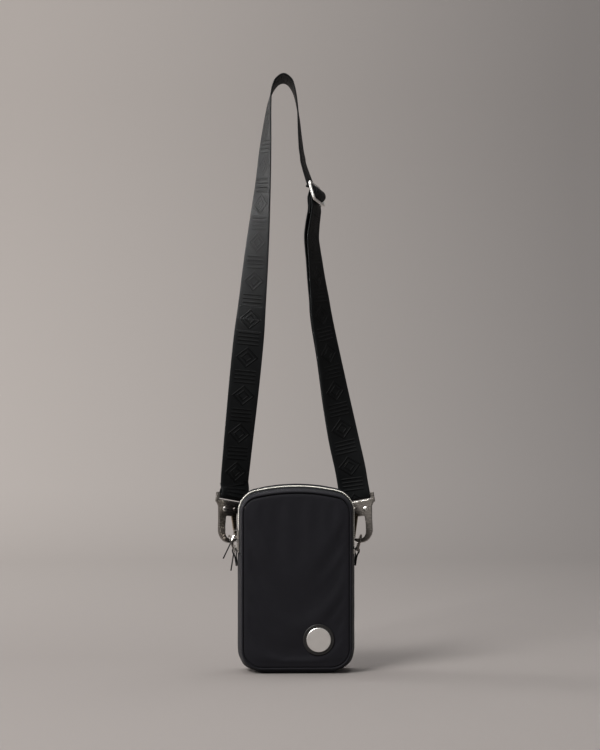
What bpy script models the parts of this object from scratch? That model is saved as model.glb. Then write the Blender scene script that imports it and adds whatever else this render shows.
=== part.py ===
"""Small upright crossbody bag with a twisted webbing strap, two snap hooks and a two-way zip.

Metres, +Z up, +X to the right and the front of the bag towards -Y. The origin is the middle of the
base, on the surface that the bag stands on.
"""
import math

import bmesh
import bpy
import numpy as np
from mathutils import Matrix, Vector

MM = 0.001

# Driving dimensions of the strap's webbing and of the body
WEBBING_WIDTH = 32.0 * MM
WEBBING_THICKNESS = 1.5 * MM
BODY_WIDTH = 121.0 * MM
BODY_HEIGHT = 191.0 * MM
BODY_HALF_DEPTH = 18.9 * MM  # from the middle to each piping's centre
TOP_CORNER = 22.5 * MM
BASE_CORNER = 25.0 * MM
ARCH_RADIUS = 190.0 * MM  # the top edge rises gently to its middle
FRONT_PULL_IN = 5.2 * MM  # how far the front seam lies inside the widest outline
BACK_PULL_IN = 6.0 * MM
WIDEST_Y = 5.0 * MM  # the sides are fullest behind the zip
BASE_FLAT_HALF = 15.5 * MM  # half the depth of the flat strip that the bag stands on
PIPING_RADIUS = 1.2 * MM
PIPING_SIDES = 6
GUSSET_WALL = 1.6 * MM
ZIP_FABRIC_WALL = 1.0 * MM
PANEL_THICKNESS = 2.2 * MM
PANEL_CROWN = 0.6 * MM
PANEL_RIM_SHARES = [  # rim, thickness and crown from the panel's inner face round to its flat
    (1.0, 0.5, 0.0, 0.0), (1.0, 0.0, 0.25, 0.0), (1.0, 0.0, 0.75, 0.0),
    (1.0, 0.5, 1.0, 0.0), (2.0, 0.0, 1.0, 0.5), (3.0, 0.0, 1.0, 1.0),
]
SIDE_POWER = 1.5  # how soon the sides curve in towards each seam
BACK_POWER = 2
BASE_POWER = 1.2
FOAM_THICKNESS = 2.0 * MM
LINING_THICKNESS = 0.6 * MM
POCKET_HEIGHT = 95.0 * MM
POCKET_FLOOR = 22.0 * MM
POCKET_WIDTH = 84.0 * MM
FIT = 0.3 * MM  # running and sewing clearance between neighbouring pieces
CORNER_STEPS = 6
ARCH_STEPS = 4
SIDE_STEPS = 3
GUSSET_SHARES = (0.0, 0.33, 0.67, 1.0)  # across a gusset strip beside the zip
OVERRUN = 2.0 * MM  # how far a cutter passes a face

# Zip
ZIP_Y = -1.0 * MM
ZIP_LEFT_END = BODY_HEIGHT - 69.0 * MM  # height of its left end
ZIP_RIGHT_END = ZIP_LEFT_END - 1.0 * MM
TOOTH_PITCH = 2.2 * MM
TOOTH_GAP = 0.3 * MM
TOOTH_REACH = 0.65 * MM  # past the middle of the chain
TOOTH_TIP_SHARE = 0.8
SPINE_NEAR = 1.3 * MM
SPINE_FAR = 2.4 * MM
CHAIN_INSET = 0.5 * MM  # outer face of the chain below the widest outline
CHAIN_HEIGHT = 2.2 * MM
TAPE_THICKNESS = 0.5 * MM
TAPE_WIDTH = 9.0 * MM
ZIP_SLOT_HALF = 4.6 * MM  # half the slot between the two fabric strips
POST_CHANNEL_HALF = 0.75 * MM  # where the teeth stand apart round the sliders' posts
STOP_LENGTH = 4.6 * MM
STOP_WALL = 0.8 * MM

# Sliders and their pulls
SLIDER_LENGTH = 10.5 * MM
SLIDER_HALF_WIDTH = 4.2 * MM
SLIDER_PLATE = 1.0 * MM
SLIDER_FLANGE = 0.8 * MM
SLIDER_OUTLINE_SHARES = [  # of the half width and the half length
    (-1.0, -1.0), (1.0, -1.0), (1.0, 0.33), (0.75, 1.0), (-0.75, 1.0), (-1.0, 0.33),
]
FLANGE_LOW_SHARE = 0.9  # flanges as shares of the half length below and above the middle
FLANGE_HIGH_SHARE = 0.25
LOWER_SLIDER_Z = ZIP_LEFT_END + 8.5 * MM
SLIDER_SPACING = 11.6 * MM
SLIDER_TRAVEL = 10.0 * MM
POST_THICKNESS = 0.8 * MM
POST_LENGTH = 2.4 * MM
BRIDGE_LENGTH = 6.4 * MM
BRIDGE_HEIGHT = 3.2 * MM
BRIDGE_WIDTH = 2.0 * MM
BRIDGE_BAR = 0.9 * MM
LINK_WIRE = 0.6 * MM  # radius of the link's wire
LINK_HALF_WIDTH = 2.4 * MM
UPPER_LINK_LENGTH = 8.0 * MM
LOWER_LINK_LENGTH = 6.4 * MM
UPPER_PULL_LEAN = math.radians(25.5)
LOWER_PULL_LEAN = math.radians(9.0)
FOLD_STEPS = 6
LEG_START_SHARE = 3.0  # where a folded strip's legs come together, in radii of its fold
WIRE_SIDES = 8
PULL_TAB_WIDTH = 5.6 * MM
PULL_TAB_PLY = 0.6 * MM
PULL_TAB_LENGTH = 20.0 * MM

# Rings and their tabs on the sides of the bag
RING_Y = 14.5 * MM
RING_WIRE = 1.2 * MM
RING_HALF_WIDTH = 7.4 * MM
RING_BAR_X = BODY_WIDTH / 2 + 3.2 * MM
RING_BAR_Z = ZIP_LEFT_END + 1.2 * MM
RING_LENGTH = 15.6 * MM
LEFT_RING_LEAN = math.radians(20.5)  # top outwards
RIGHT_RING_LEAN = math.radians(15.0)
RING_ARC_STEPS = 10
TAB_WIDTH = 8.0 * MM
TAB_PLY = 1.2 * MM
TAB_FOOT_Z = RING_BAR_Z - 16.2 * MM

# Snap hooks: u runs outwards along the rod, v up the plate, from the middle of the rod
LEFT_CONTACT_X = RING_BAR_X + 5.5 * MM  # where the middle of each hook's bow lies in its ring
RIGHT_CONTACT_X = RING_BAR_X + 4.3 * MM
CONTACT_Z = RING_BAR_Z + 10.2 * MM
HOOK_CONTACT_U = -0.4 * MM
HOOK_CONTACT_V = 45.5 * MM
HOOK_TILT = math.radians(10.6)  # tops towards each other
LEFT_HOOK_LEAN = math.radians(7.0)  # tops towards the back
RIGHT_HOOK_LEAN = math.radians(13.0)
LEFT_HOOK_YAW = math.radians(28.5)  # outer edges towards the front
RIGHT_HOOK_YAW = math.radians(13.0)
HOOK_HALF_WIDTH = WEBBING_WIDTH / 2 + 2.5 * MM
HOOK_DROP = 48.2 * MM
HOOK_THICKNESS = 4.6 * MM
HOOK_EDGE = 0.6 * MM
ROD_RADIUS = 1.6 * MM
EAR_INNER = WEBBING_WIDTH / 2 + 0.7 * MM
EAR_OUTER = EAR_INNER + 3.3 * MM
EAR_DEPTH = 3.6 * MM
PIVOT_U = -1.9 * MM
PIVOT_V = -12.9 * MM
PIN_RADIUS = 1.1 * MM
PIN_HEAD_RADIUS = 2.1 * MM
PIN_HEAD = 0.7 * MM
PIN_SIDES = 12
BORE_SIDES = 16
HEAD_PROFILE_SHARES = [(1.0, 0.45), (0.75, 0.8), (0.1, 1.0), (0.0, 1.0)]  # height and radius of a head
ACROSS = Vector((1.0, 0.0, 0.0))  # directions in the hook's own plane
DEPTH = Vector((0.0, 1.0, 0.0))
RIVET_U = 9.4 * MM
RIVET_V = -14.3 * MM
RIVET_RADIUS = 1.5 * MM
RIVET_HEAD_RADIUS = 2.9 * MM
RIVET_HEAD = 0.9 * MM
GATE_THICKNESS = 2.4 * MM
GATE_HEAD_RADIUS = 3.9 * MM
GATE_POCKET_RADIUS = 2.75 * MM
GATE_POCKET_DEPTH = 1.7 * MM
GATE_HEAD_START = math.radians(200.0)
GATE_HEAD_SWEEP = math.radians(-220.0)
GATE_HEAD_STEPS = 9
SPRING_WIRE = 0.22 * MM
SPRING_RADIUS = 1.95 * MM
SPRING_TURNS = 2
SPRING_PITCH = 0.48 * MM
SPRING_STEPS = 8
SPRING_SIDES = 5

# Strap
STRAP_RISE = 435.0 * MM  # from the rods to the top of the arch
STRAP_HALF_SPREAD = BODY_WIDTH / 2 + 1.2 * MM
PLY_HALF_SPACE = 0.95 * MM  # half the distance between two plies that lie together
SEWN_END = 17.0 * MM
LOOP_EASE = 0.2 * MM  # slack of the webbing round a rod or bar
SQUARE_RUN = 9.0 * MM  # how far the webbing stays square to its rod
ADJUSTER_HALF_WIDTH = WEBBING_WIDTH / 2 + 2.6 * MM
ADJUSTER_BAR_SPACING = 9.6 * MM
ADJUSTER_BAR = 1.5 * MM
ADJUSTER_MIDDLE_BAR = 1.35 * MM
ADJUSTER_SIDES = 10
ADJUSTER_SHARE = 0.722  # height of the adjuster as a share of the strap's rise
SEWN_TAIL = 24.0 * MM
ROUTE_SAMPLES = 12  # points of the smooth curve between two rows of the route
LEAD_SHARE = 1.6  # where the webbing bends round a rod, in radii of its loop
LEAD_SIDE_SHARE = 0.85
PLAIN_STEPS = 60
DOUBLE_STEPS = 22
STACK_START_SHARE = 0.64  # of the doubled run, where the second ply starts to move behind the first
STACK_RUN_SHARE = 0.32
LOOP_STEP = 24.0  # degrees

# Badge, left plain
BADGE_X = 22.3 * MM
BADGE_Z = 35.0 * MM
BADGE_RADIUS = 16.0 * MM
BADGE_THICKNESS = 0.9 * MM
BADGE_PLATE_RADIUS = 12.4 * MM
BADGE_PLATE_THICKNESS = 0.8 * MM
BADGE_STEPS = 28
BADGE_RIM_SHARES = [(0.0, 1.0), (0.6, 1.0), (1.0, 0.96)]  # thickness and radius

# Route of the strap: height as a share of its rise, side as a share of its half spread, depth as a
# share of the rods' own depth and the heading of its width in degrees, from the left rod over the
# arch to the right rod
STRAP_ROUTE_SHARES = [
    (0.045, -1.037, 0.97, -25.0), (0.114, -0.985, 0.90, -20.0), (0.194, -0.925, 0.82, -14.0),
    (0.286, -0.860, 0.74, -4.0), (0.379, -0.795, 0.66, 8.0), (0.456, -0.742, 0.60, 25.0),
    (0.592, -0.655, 0.52, 41.0), (0.740, -0.560, 0.46, 60.0), (0.833, -0.515, 0.42, 69.0),
    (0.923, -0.462, 0.40, 81.0), (0.965, -0.415, 0.40, 87.0), (0.992, -0.320, 0.40, 90.0),
    (1.000, -0.205, 0.40, 90.0), (0.990, -0.095, 0.40, 90.0), (0.962, -0.015, 0.40, 92.0),
    (0.916, 0.038, 0.42, 94.0), (0.863, 0.068, 0.44, 97.0), (0.801, 0.117, 0.46, 101.0),
    (0.757, 0.202, 0.42, 104.0), (0.722, 0.290, 0.30, 106.0), (0.690, 0.325, 0.18, 108.0),
    (0.660, 0.300, 0.12, 110.0), (0.618, 0.272, 0.10, 113.0), (0.570, 0.307, 0.09, 117.0),
    (0.522, 0.341, 0.08, 122.0), (0.474, 0.385, 0.11, 128.0), (0.426, 0.425, 0.16, 134.0),
    (0.331, 0.552, 0.32, 140.0), (0.235, 0.675, 0.52, 153.0), (0.139, 0.810, 0.72, 170.0),
    (0.067, 0.925, 0.86, 183.0),
]
ARCH_ROLL = math.radians(10.0)  # the front edge of the webbing stands higher on the arch
ARCH_SHARE = 0.9  # of the rise, above which it does

# Outline of the hook's plate, arm and nose: u as a share of the half width, v of the drop
PLATE_TOP_SHARE = -0.098
WINDOW_TOP_SHARE = -0.422
HOOK_OUTLINE_SHARES = [
    (-1.060, PLATE_TOP_SHARE), (1.060, PLATE_TOP_SHARE), (0.985, -0.175), (0.868, -0.240), (0.815, -0.380),
    (0.757, -0.540), (0.725, -0.690), (0.695, -0.790), (0.610, -0.865), (0.480, -0.930),
    (0.320, -0.975), (0.120, -1.000), (-0.080, -0.997), (-0.260, -0.975), (-0.410, -0.930),
    (-0.530, -0.852), (-0.480, -0.845), (-0.440, -0.884), (-0.184, -0.905), (0.054, -0.915),
    (0.175, -0.893), (0.270, -0.850), (0.325, -0.790), (0.372, -0.640), (0.385, -0.480),
    (0.370, -0.445), (0.320, -0.430), (-0.011, WINDOW_TOP_SHARE), (-0.032, -0.368), (-0.373, -0.351),
    (-0.454, -0.249), (-0.890, -0.143),
]
# Outline of the gate from its pivot's right side down to the tip and back up
GATE_EDGE_SHARES = [
    (0.000, -0.425), (-0.150, -0.620), (-0.311, -0.832), (-0.318, -0.870), (-0.425, -0.872),
    (-0.445, -0.835), (-0.385, -0.620), (-0.300, -0.420),
]


def clear_scene():
    """Start from an empty scene."""
    for obj in list(bpy.data.objects):
        bpy.data.objects.remove(obj, do_unlink=True)


def finish(name, colour, metallic, roughness):
    """One Principled BSDF material."""
    made = bpy.data.materials.get(name)
    if made:
        return made
    made = bpy.data.materials.new(name)
    made.use_nodes = True
    shader = made.node_tree.nodes["Principled BSDF"]
    shader.inputs["Base Color"].default_value = (*colour, 1.0)
    shader.inputs["Metallic"].default_value = metallic
    shader.inputs["Roughness"].default_value = roughness
    return made


def nylon():
    return finish("black_nylon", (0.018, 0.018, 0.021), 0.0, 0.62)


def webbing():
    return finish("black_webbing", (0.012, 0.013, 0.014), 0.0, 0.5)


def lining_cloth():
    return finish("lining_cloth", (0.03, 0.03, 0.032), 0.0, 0.8)


def foam():
    return finish("foam", (0.12, 0.12, 0.12), 0.0, 0.9)


def gunmetal():
    return finish("gunmetal", (0.20, 0.19, 0.18), 1.0, 0.32)


def silver():
    return finish("silver_metal", (0.72, 0.70, 0.66), 1.0, 0.25)


def leather():
    return finish("black_leather", (0.015, 0.014, 0.014), 0.0, 0.5)


def make_object(name, mesh, material, smooth=True):
    """Link a mesh as a named object with its own material and shading."""
    obj = bpy.data.objects.new(name, mesh)
    bpy.context.scene.collection.objects.link(obj)
    mesh.materials.append(material)
    if smooth:
        mesh.shade_smooth()
        mesh.set_sharp_from_angle(angle=math.radians(35.0))
    return obj


def mesh_from(name, points, faces):
    """A closed mesh with its faces turned outwards."""
    mesh = bpy.data.meshes.new(name)
    mesh.from_pydata([tuple(p) for p in points], [], faces)
    work = bmesh.new()
    work.from_mesh(mesh)
    bmesh.ops.recalc_face_normals(work, faces=work.faces)
    work.to_mesh(mesh)
    work.free()
    mesh.validate()
    return mesh


def loft(name, rings, material, closed=False):
    """Join equal rings of points in order, either round in a loop or with a cap at each end."""
    count = len(rings[0])
    points = [p for ring in rings for p in ring]
    faces = []
    spans = len(rings) if closed else len(rings) - 1
    for i in range(spans):
        near = i * count
        far = ((i + 1) % len(rings)) * count
        for j in range(count):
            k = (j + 1) % count
            faces.append((near + j, near + k, far + k, far + j))
    if not closed:
        faces.append(tuple(range(count)))
        last = (len(rings) - 1) * count
        faces.append(tuple(last + j for j in reversed(range(count))))
    return make_object(name, mesh_from(name, points, faces), material)


def prism(name, outline, low, high, material):
    """Extrude a flat outline of (u, v) points between two depths along local Y."""
    rings = [[Vector((u, depth, v)) for u, v in outline] for depth in (low, high)]
    return loft(name, rings, material)


def block(name, low, high, material):
    """A box between two corners, for parts of a fused piece."""
    outline = [(low[0], low[2]), (high[0], low[2]), (high[0], high[2]), (low[0], high[2])]
    return prism(name, outline, low[1], high[1], material)


def circle(centre, radius, steps, start=0.0, sweep=2.0 * math.pi):
    """Points of a circle or an arc in a plane."""
    whole = sweep >= 2.0 * math.pi
    spans = steps if whole else steps - 1
    return [
        (centre[0] + radius * math.cos(start + sweep * i / spans),
         centre[1] + radius * math.sin(start + sweep * i / spans))
        for i in range(steps)
    ]


def turned(name, profile, centre, axis, steps, material):
    """A solid turned about an axis from (distance along it, radius) pairs."""
    along = axis.normalized()
    side = along.orthogonal().normalized()
    up = along.cross(side)
    rings = []
    for distance, radius in profile:
        middle = centre + along * distance
        rings.append([middle + side * a + up * b for a, b in circle((0.0, 0.0), radius, steps)])
    return loft(name, rings, material)


def tube(name, path, radius, sides, material, closed=False):
    """Round wire along a path of points, with frames carried along it without twist."""
    count = len(path)
    tangents = []
    for i in range(count):
        before = path[i - 1] if (i or closed) else path[0]
        after = path[(i + 1) % count] if (i < count - 1 or closed) else path[-1]
        tangents.append((after - before).normalized())
    side = tangents[0].orthogonal().normalized()
    rings = []
    for point, tangent in zip(path, tangents):
        side = (side - tangent * side.dot(tangent)).normalized()
        up = tangent.cross(side)
        rings.append([point + side * a + up * b for a, b in circle((0.0, 0.0), radius, sides)])
    return loft(name, rings, material, closed)


def ribbon(name, path, widths, width, thickness, material):
    """A flat strip along a path; widths gives the direction of its width at each point."""
    count = len(path)
    rings = []
    for i in range(count):
        tangent = (path[min(i + 1, count - 1)] - path[max(i - 1, 0)]).normalized()
        across = (widths[i] - tangent * widths[i].dot(tangent)).normalized()
        out = across.cross(tangent)
        a = across * (width / 2)
        b = out * (thickness / 2)
        point = path[i]
        rings.append([point - a - b, point + a - b, point + a + b, point - a + b])
    return loft(name, rings, material)


def combine(obj, tool, operation):
    """Fuse or cut one object with another, which stays in the file as a hidden guide."""
    tool.hide_render = True
    tool.display_type = "WIRE"
    tool.parent = obj.parent
    modifier = obj.modifiers.new(tool.name, "BOOLEAN")
    modifier.operation = operation
    modifier.solver = "EXACT"
    modifier.object = tool
    return obj


def fuse(obj, tool):
    return combine(obj, tool, "UNION")


def cut(obj, tool):
    return combine(obj, tool, "DIFFERENCE")


def soften(obj, width):
    """Round the edges of a flat piece."""
    modifier = obj.modifiers.new("edge", "BEVEL")
    modifier.width = width
    modifier.segments = 2
    modifier.limit_method = "ANGLE"
    modifier.angle_limit = math.radians(50.0)
    return obj


def empty_at(name, origin):
    """An upright empty, to carry pieces on a joint's axis."""
    empty = bpy.data.objects.new(name, None)
    bpy.context.scene.collection.objects.link(empty)
    empty.location = origin
    return empty


def frame_at(name, origin, across, up, carrier):
    """An empty with X along across and Z along up, carried by an upright one."""
    out = up.cross(across).normalized()
    empty = empty_at(name, origin)
    empty.parent = carrier
    basis = Matrix((across, out, up)).transposed().to_4x4()
    empty.matrix_local = Matrix.Translation(origin - carrier.location) @ basis
    return empty


def pivot_at(obj, origin):
    """Put a piece's own origin on its joint's axis; the shape stays where it is."""
    obj.data.transform(Matrix.Translation(-origin))
    obj.location = origin
    return obj


# Outline of the body


def outline_runs():
    """Straight runs and arcs of the widest outline, clockwise from the middle of the base."""
    half = BODY_WIDTH / 2
    base = half - BASE_CORNER
    reach = ARCH_RADIUS - TOP_CORNER
    slope = math.asin((half - TOP_CORNER) / reach)
    arch_z = BODY_HEIGHT - ARCH_RADIUS
    corner_z = arch_z + reach * math.cos(slope)
    corner_x = half - TOP_CORNER
    quarter = math.pi / 2
    turn = 2 * math.pi
    return [
        ("line", (0.0, 0.0), (-base, 0.0), (0.0, -1.0), 1),
        ("arc", (-base, BASE_CORNER), BASE_CORNER, 2 * quarter, 3 * quarter, CORNER_STEPS),
        ("line", (-half, BASE_CORNER), (-half, corner_z), (-1.0, 0.0), SIDE_STEPS),
        ("arc", (-corner_x, corner_z), TOP_CORNER, 3 * quarter, turn - slope, CORNER_STEPS),
        ("arc", (0.0, arch_z), ARCH_RADIUS, -slope, slope, ARCH_STEPS),
        ("arc", (corner_x, corner_z), TOP_CORNER, slope, quarter, CORNER_STEPS),
        ("line", (half, corner_z), (half, BASE_CORNER), (1.0, 0.0), SIDE_STEPS),
        ("arc", (base, BASE_CORNER), BASE_CORNER, quarter, 2 * quarter, CORNER_STEPS),
        ("line", (base, 0.0), (0.0, 0.0), (0.0, -1.0), 1),
    ]


def run_length(run):
    """Length of one run of the outline."""
    if run[0] == "line":
        return math.hypot(run[2][0] - run[1][0], run[2][1] - run[1][1])
    return run[2] * abs(run[4] - run[3])


RUNS = outline_runs()
PERIMETER = sum(run_length(run) for run in RUNS)
LEFT_SIDE_START = run_length(RUNS[0]) + run_length(RUNS[1])


def outline_point(s):
    """Point and outward normal of the widest outline at a distance s along it."""
    for run in RUNS:
        length = run_length(run)
        if s <= length or run is RUNS[-1]:
            break
        s -= length
    share = min(max(s / length, 0.0), 1.0)
    if run[0] == "line":
        start, end, normal = run[1:4]
        point = (start[0] + (end[0] - start[0]) * share, start[1] + (end[1] - start[1]) * share)
        return point, normal
    centre, radius, first, last = run[1:5]
    angle = first + (last - first) * share
    normal = (math.sin(angle), math.cos(angle))
    return (centre[0] + radius * normal[0], centre[1] + radius * normal[1]), normal


def stations(start, end):
    """Distances along the outline at which a sweep needs a section, both ends included."""
    found = [start]
    base = 0.0
    for run in RUNS:
        length = run_length(run)
        steps = run[-1]
        for i in range(steps):
            s = base + length * i / steps
            if start + FIT < s < end - FIT:
                found.append(s)
        base += length
    return found + [end]


def left_side(z):
    """Distance along the outline of a height on the straight left side."""
    return LEFT_SIDE_START + z - BASE_CORNER


def right_side(z):
    return PERIMETER - left_side(z)


def side_inset(y, normal):
    """How far the fabric lies inside the widest outline at a depth y."""
    half = BODY_HALF_DEPTH
    if y < WIDEST_Y:
        side = FRONT_PULL_IN * ((WIDEST_Y - y) / (WIDEST_Y + half)) ** SIDE_POWER
        pull = FRONT_PULL_IN
    else:
        side = BACK_PULL_IN * ((y - WIDEST_Y) / (half - WIDEST_Y)) ** BACK_POWER
        pull = BACK_PULL_IN
    past = max(abs(y) - BASE_FLAT_HALF, 0.0) / (half - BASE_FLAT_HALF)
    base = pull * past ** BASE_POWER
    weight = max(-normal[1], 0.0) ** 2
    return side * (1.0 - weight) + base * weight


def on_body(s, inset, y):
    """A point at a distance inside the widest outline and a depth y."""
    point, normal = outline_point(s)
    return Vector((point[0] - normal[0] * inset, y, point[1] - normal[1] * inset))


def wall_ring(s, depths, wall):
    """Section of a fabric wall that follows the body between the given depths."""
    normal = outline_point(s)[1]
    outer = [on_body(s, side_inset(y, normal), y) for y in depths]
    inner = [on_body(s, side_inset(y, normal) + wall, y) for y in reversed(depths)]
    return outer + inner


def loop_stations():
    """Distances for a sweep right round the body."""
    return stations(0.0, PERIMETER)[:-1]


# Fabric body


def panel(name, side, thickness, rim, start_y, crown, material):
    """A flat shell that fills the outline inside a seam, from its inner face outwards."""
    profile = [
        (rim * a + thickness * b, thickness * c + crown * d) for a, b, c, d in PANEL_RIM_SHARES]
    route = loop_stations()
    rings = [[on_body(s, inset, side * (start_y + out)) for s in route] for inset, out in profile]
    return loft(name, rings, material)


def sheet(name, side, thickness, rim, start_y, material):
    """A thin flat sheet that fills the outline."""
    route = loop_stations()
    rings = [[on_body(s, rim, side * (start_y + out)) for s in route] for out in (0.0, thickness)]
    return loft(name, rings, material)


def piping(name, side, pull):
    """Fabric-covered cord along a seam."""
    rings = []
    for s in loop_stations():
        section = circle((pull, side * BODY_HALF_DEPTH), PIPING_RADIUS, PIPING_SIDES)
        rings.append([on_body(s, inset, y) for inset, y in section])
    return loft(name, rings, nylon(), closed=True)


def panels():
    """Front and back: outer cloth, foam behind it and lining, each a shell of its own."""
    outer = BODY_HALF_DEPTH + PIPING_RADIUS
    for name, side, pull in (("front", -1, FRONT_PULL_IN), ("back", 1, BACK_PULL_IN)):
        rim = pull + PIPING_RADIUS + FIT
        skin_y = outer - PANEL_THICKNESS
        foam_y = skin_y - FIT - FOAM_THICKNESS
        lining_y = foam_y - FIT - LINING_THICKNESS
        panel(name + "_panel", side, PANEL_THICKNESS, rim, skin_y, PANEL_CROWN, nylon())
        sheet(name + "_foam", side, FOAM_THICKNESS, rim + FIT, foam_y, foam())
        sheet(name + "_lining", side, LINING_THICKNESS, rim + FIT, lining_y, lining_cloth())
        piping(name + "_piping", side, pull)
    pocket_y = lining_y - FIT - LINING_THICKNESS
    pocket = block(
        "inner_pocket", (-POCKET_WIDTH / 2, pocket_y, POCKET_FLOOR),
        (POCKET_WIDTH / 2, pocket_y + LINING_THICKNESS, POCKET_FLOOR + POCKET_HEIGHT), lining_cloth())
    pocket.data.shade_flat()


def gusset_depths(near, far):
    """Depths of the points across a gusset strip, from near to far."""
    return [near + (far - near) * share for share in GUSSET_SHARES]


def gussets():
    """The strips between the seams: one round the base, and one on each side of the zip."""
    edge = BODY_HALF_DEPTH - PIPING_RADIUS - FIT
    start = left_side(ZIP_LEFT_END) - FIT
    end = right_side(ZIP_RIGHT_END) + FIT
    flat = BASE_FLAT_HALF
    middle = (edge + flat) / 2
    depths = [-edge, -middle, -flat, -flat / 2, flat / 2, flat, middle, edge]
    route = stations(0.0, start)
    rest = stations(end, PERIMETER)
    rings = [wall_ring(s, depths, GUSSET_WALL) for s in rest + route[1:]]
    loft("bottom_gusset", rings, nylon())
    run = stations(left_side(ZIP_LEFT_END), right_side(ZIP_RIGHT_END))
    front = gusset_depths(-edge, ZIP_Y - ZIP_SLOT_HALF)
    back = gusset_depths(ZIP_Y + ZIP_SLOT_HALF, edge)
    for name, depths in (("zip_gusset_front", front), ("zip_gusset_back", back)):
        loft(name, [wall_ring(s, depths, ZIP_FABRIC_WALL) for s in run], nylon())


# Zip


def tape_ring(s, side):
    """Section of one zip tape: under the fabric, then up to the chain's edge."""
    normal = outline_point(s)[1]
    chain_middle = CHAIN_INSET + CHAIN_HEIGHT / 2 - TAPE_THICKNESS / 2
    chain_y = ZIP_Y + side * (SPINE_FAR + FIT)
    fabric_y = ZIP_Y + side * (ZIP_SLOT_HALF - FIT)
    far_y = ZIP_Y + side * (ZIP_SLOT_HALF + TAPE_WIDTH / 2)
    under = ZIP_FABRIC_WALL + FIT
    outer = [
        (chain_middle, chain_y),
        (side_inset(fabric_y, normal) + under, fabric_y),
        (side_inset(far_y, normal) + under, far_y),
    ]
    inner = [(inset + TAPE_THICKNESS, y) for inset, y in reversed(outer)]
    return [on_body(s, inset, y) for inset, y in outer + inner]


def tooth_reach(s):
    """How far the teeth pass the middle at s: they stand apart round the sliders' posts."""
    z = on_body(s, 0.0, 0.0).z
    on_left = s < PERIMETER / 2
    channel_top = LOWER_SLIDER_Z + SLIDER_SPACING + SLIDER_TRAVEL * 2 + SLIDER_LENGTH / 2
    if on_left and z < channel_top:
        return -POST_CHANNEL_HALF
    return TOOTH_REACH


def teeth(name, side, shift):
    """One half of the chain: a spine along the tape's edge with a row of teeth, as one comb."""
    start = left_side(ZIP_LEFT_END) + STOP_WALL + FIT
    end = right_side(ZIP_RIGHT_END) - STOP_LENGTH - FIT
    count = int((end - start - shift) / TOOTH_PITCH)
    tooth = TOOTH_PITCH / 2 - TOOTH_GAP
    taper = tooth * (1.0 - TOOTH_TIP_SHARE) / 2
    top = CHAIN_INSET
    low = CHAIN_INSET + CHAIN_HEIGHT
    far = ZIP_Y + side * SPINE_FAR
    near = ZIP_Y + side * SPINE_NEAR
    points = []
    faces = []

    def pair(s, y):
        """Add the outer and inner point at one place, and give their numbers."""
        points.append(on_body(s, top, y))
        points.append(on_body(s, low, y))
        return len(points) - 2, len(points) - 1

    first = start + shift
    back = pair(first, far)
    root_a = pair(first, near)
    faces.append((back[0], root_a[0], root_a[1], back[1]))
    for i in range(count):
        first = start + shift + i * TOOTH_PITCH
        second = first + tooth
        following = first + TOOTH_PITCH
        tip = ZIP_Y - side * tooth_reach(first)
        root_b = pair(second, near)
        tip_a = pair(first + taper, tip)
        tip_b = pair(second - taper, tip)
        back_next = pair(following, far)
        root_next = pair(following, near)
        faces.append((back[0], back_next[0], root_next[0], root_b[0], root_a[0]))
        faces.append((back[1], back_next[1], root_next[1], root_b[1], root_a[1]))
        faces.append((back[0], back[1], back_next[1], back_next[0]))
        faces.append((root_b[0], root_next[0], root_next[1], root_b[1]))
        faces.append((root_a[0], root_b[0], tip_b[0], tip_a[0]))
        faces.append((root_a[1], root_b[1], tip_b[1], tip_a[1]))
        faces.append((root_a[0], tip_a[0], tip_a[1], root_a[1]))
        faces.append((root_b[0], tip_b[0], tip_b[1], root_b[1]))
        faces.append((tip_a[0], tip_b[0], tip_b[1], tip_a[1]))
        back = back_next
        root_a = root_next
    faces.append((back[0], root_a[0], root_a[1], back[1]))
    made = make_object(name, mesh_from(name, points, faces), silver(), smooth=False)
    return made


def zip_stop(name, s_start, s_end):
    """Metal clamp over the end of the chain."""
    outer = CHAIN_INSET - STOP_WALL / 2
    inner = CHAIN_INSET + CHAIN_HEIGHT
    half = SPINE_FAR
    section = [(outer, -half), (outer, half), (inner, half), (inner, -half)]
    rings = [[on_body(s, inset, ZIP_Y + y) for inset, y in section] for s in (s_start, s_end)]
    return soften(loft(name, rings, silver()), STOP_WALL / 3)


def zip_chain():
    """Tapes, interlocking teeth and the two end stops."""
    run = stations(left_side(ZIP_LEFT_END), right_side(ZIP_RIGHT_END))
    for name, side in (("front", -1), ("back", 1)):
        loft("zip_tape_" + name, [tape_ring(s, side) for s in run], webbing())
    teeth("zip_teeth_front", -1, TOOTH_GAP / 2)
    teeth("zip_teeth_back", 1, TOOTH_GAP / 2 + TOOTH_PITCH / 2)
    left = left_side(ZIP_LEFT_END)
    right = right_side(ZIP_RIGHT_END)
    zip_stop("zip_stop_left", left, left + STOP_WALL)
    zip_stop("zip_stop_right", right - STOP_LENGTH, right)


def slider_x(inset):
    """X of a depth below the widest outline on the straight left side."""
    return -(BODY_WIDTH / 2 - inset)


def slider_outline(half):
    """Shield outline of a slider's plate, as (depth, height) about its middle."""
    return [(half * across, SLIDER_LENGTH / 2 * along) for across, along in SLIDER_OUTLINE_SHARES]


def slider_plate(name, z, x_from, x_to, half):
    """One plate of a slider, between two X values."""
    rings = []
    for x in (x_from, x_to):
        rings.append([Vector((x, ZIP_Y + y, z + height)) for y, height in slider_outline(half)])
    return loft(name, rings, silver())


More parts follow.
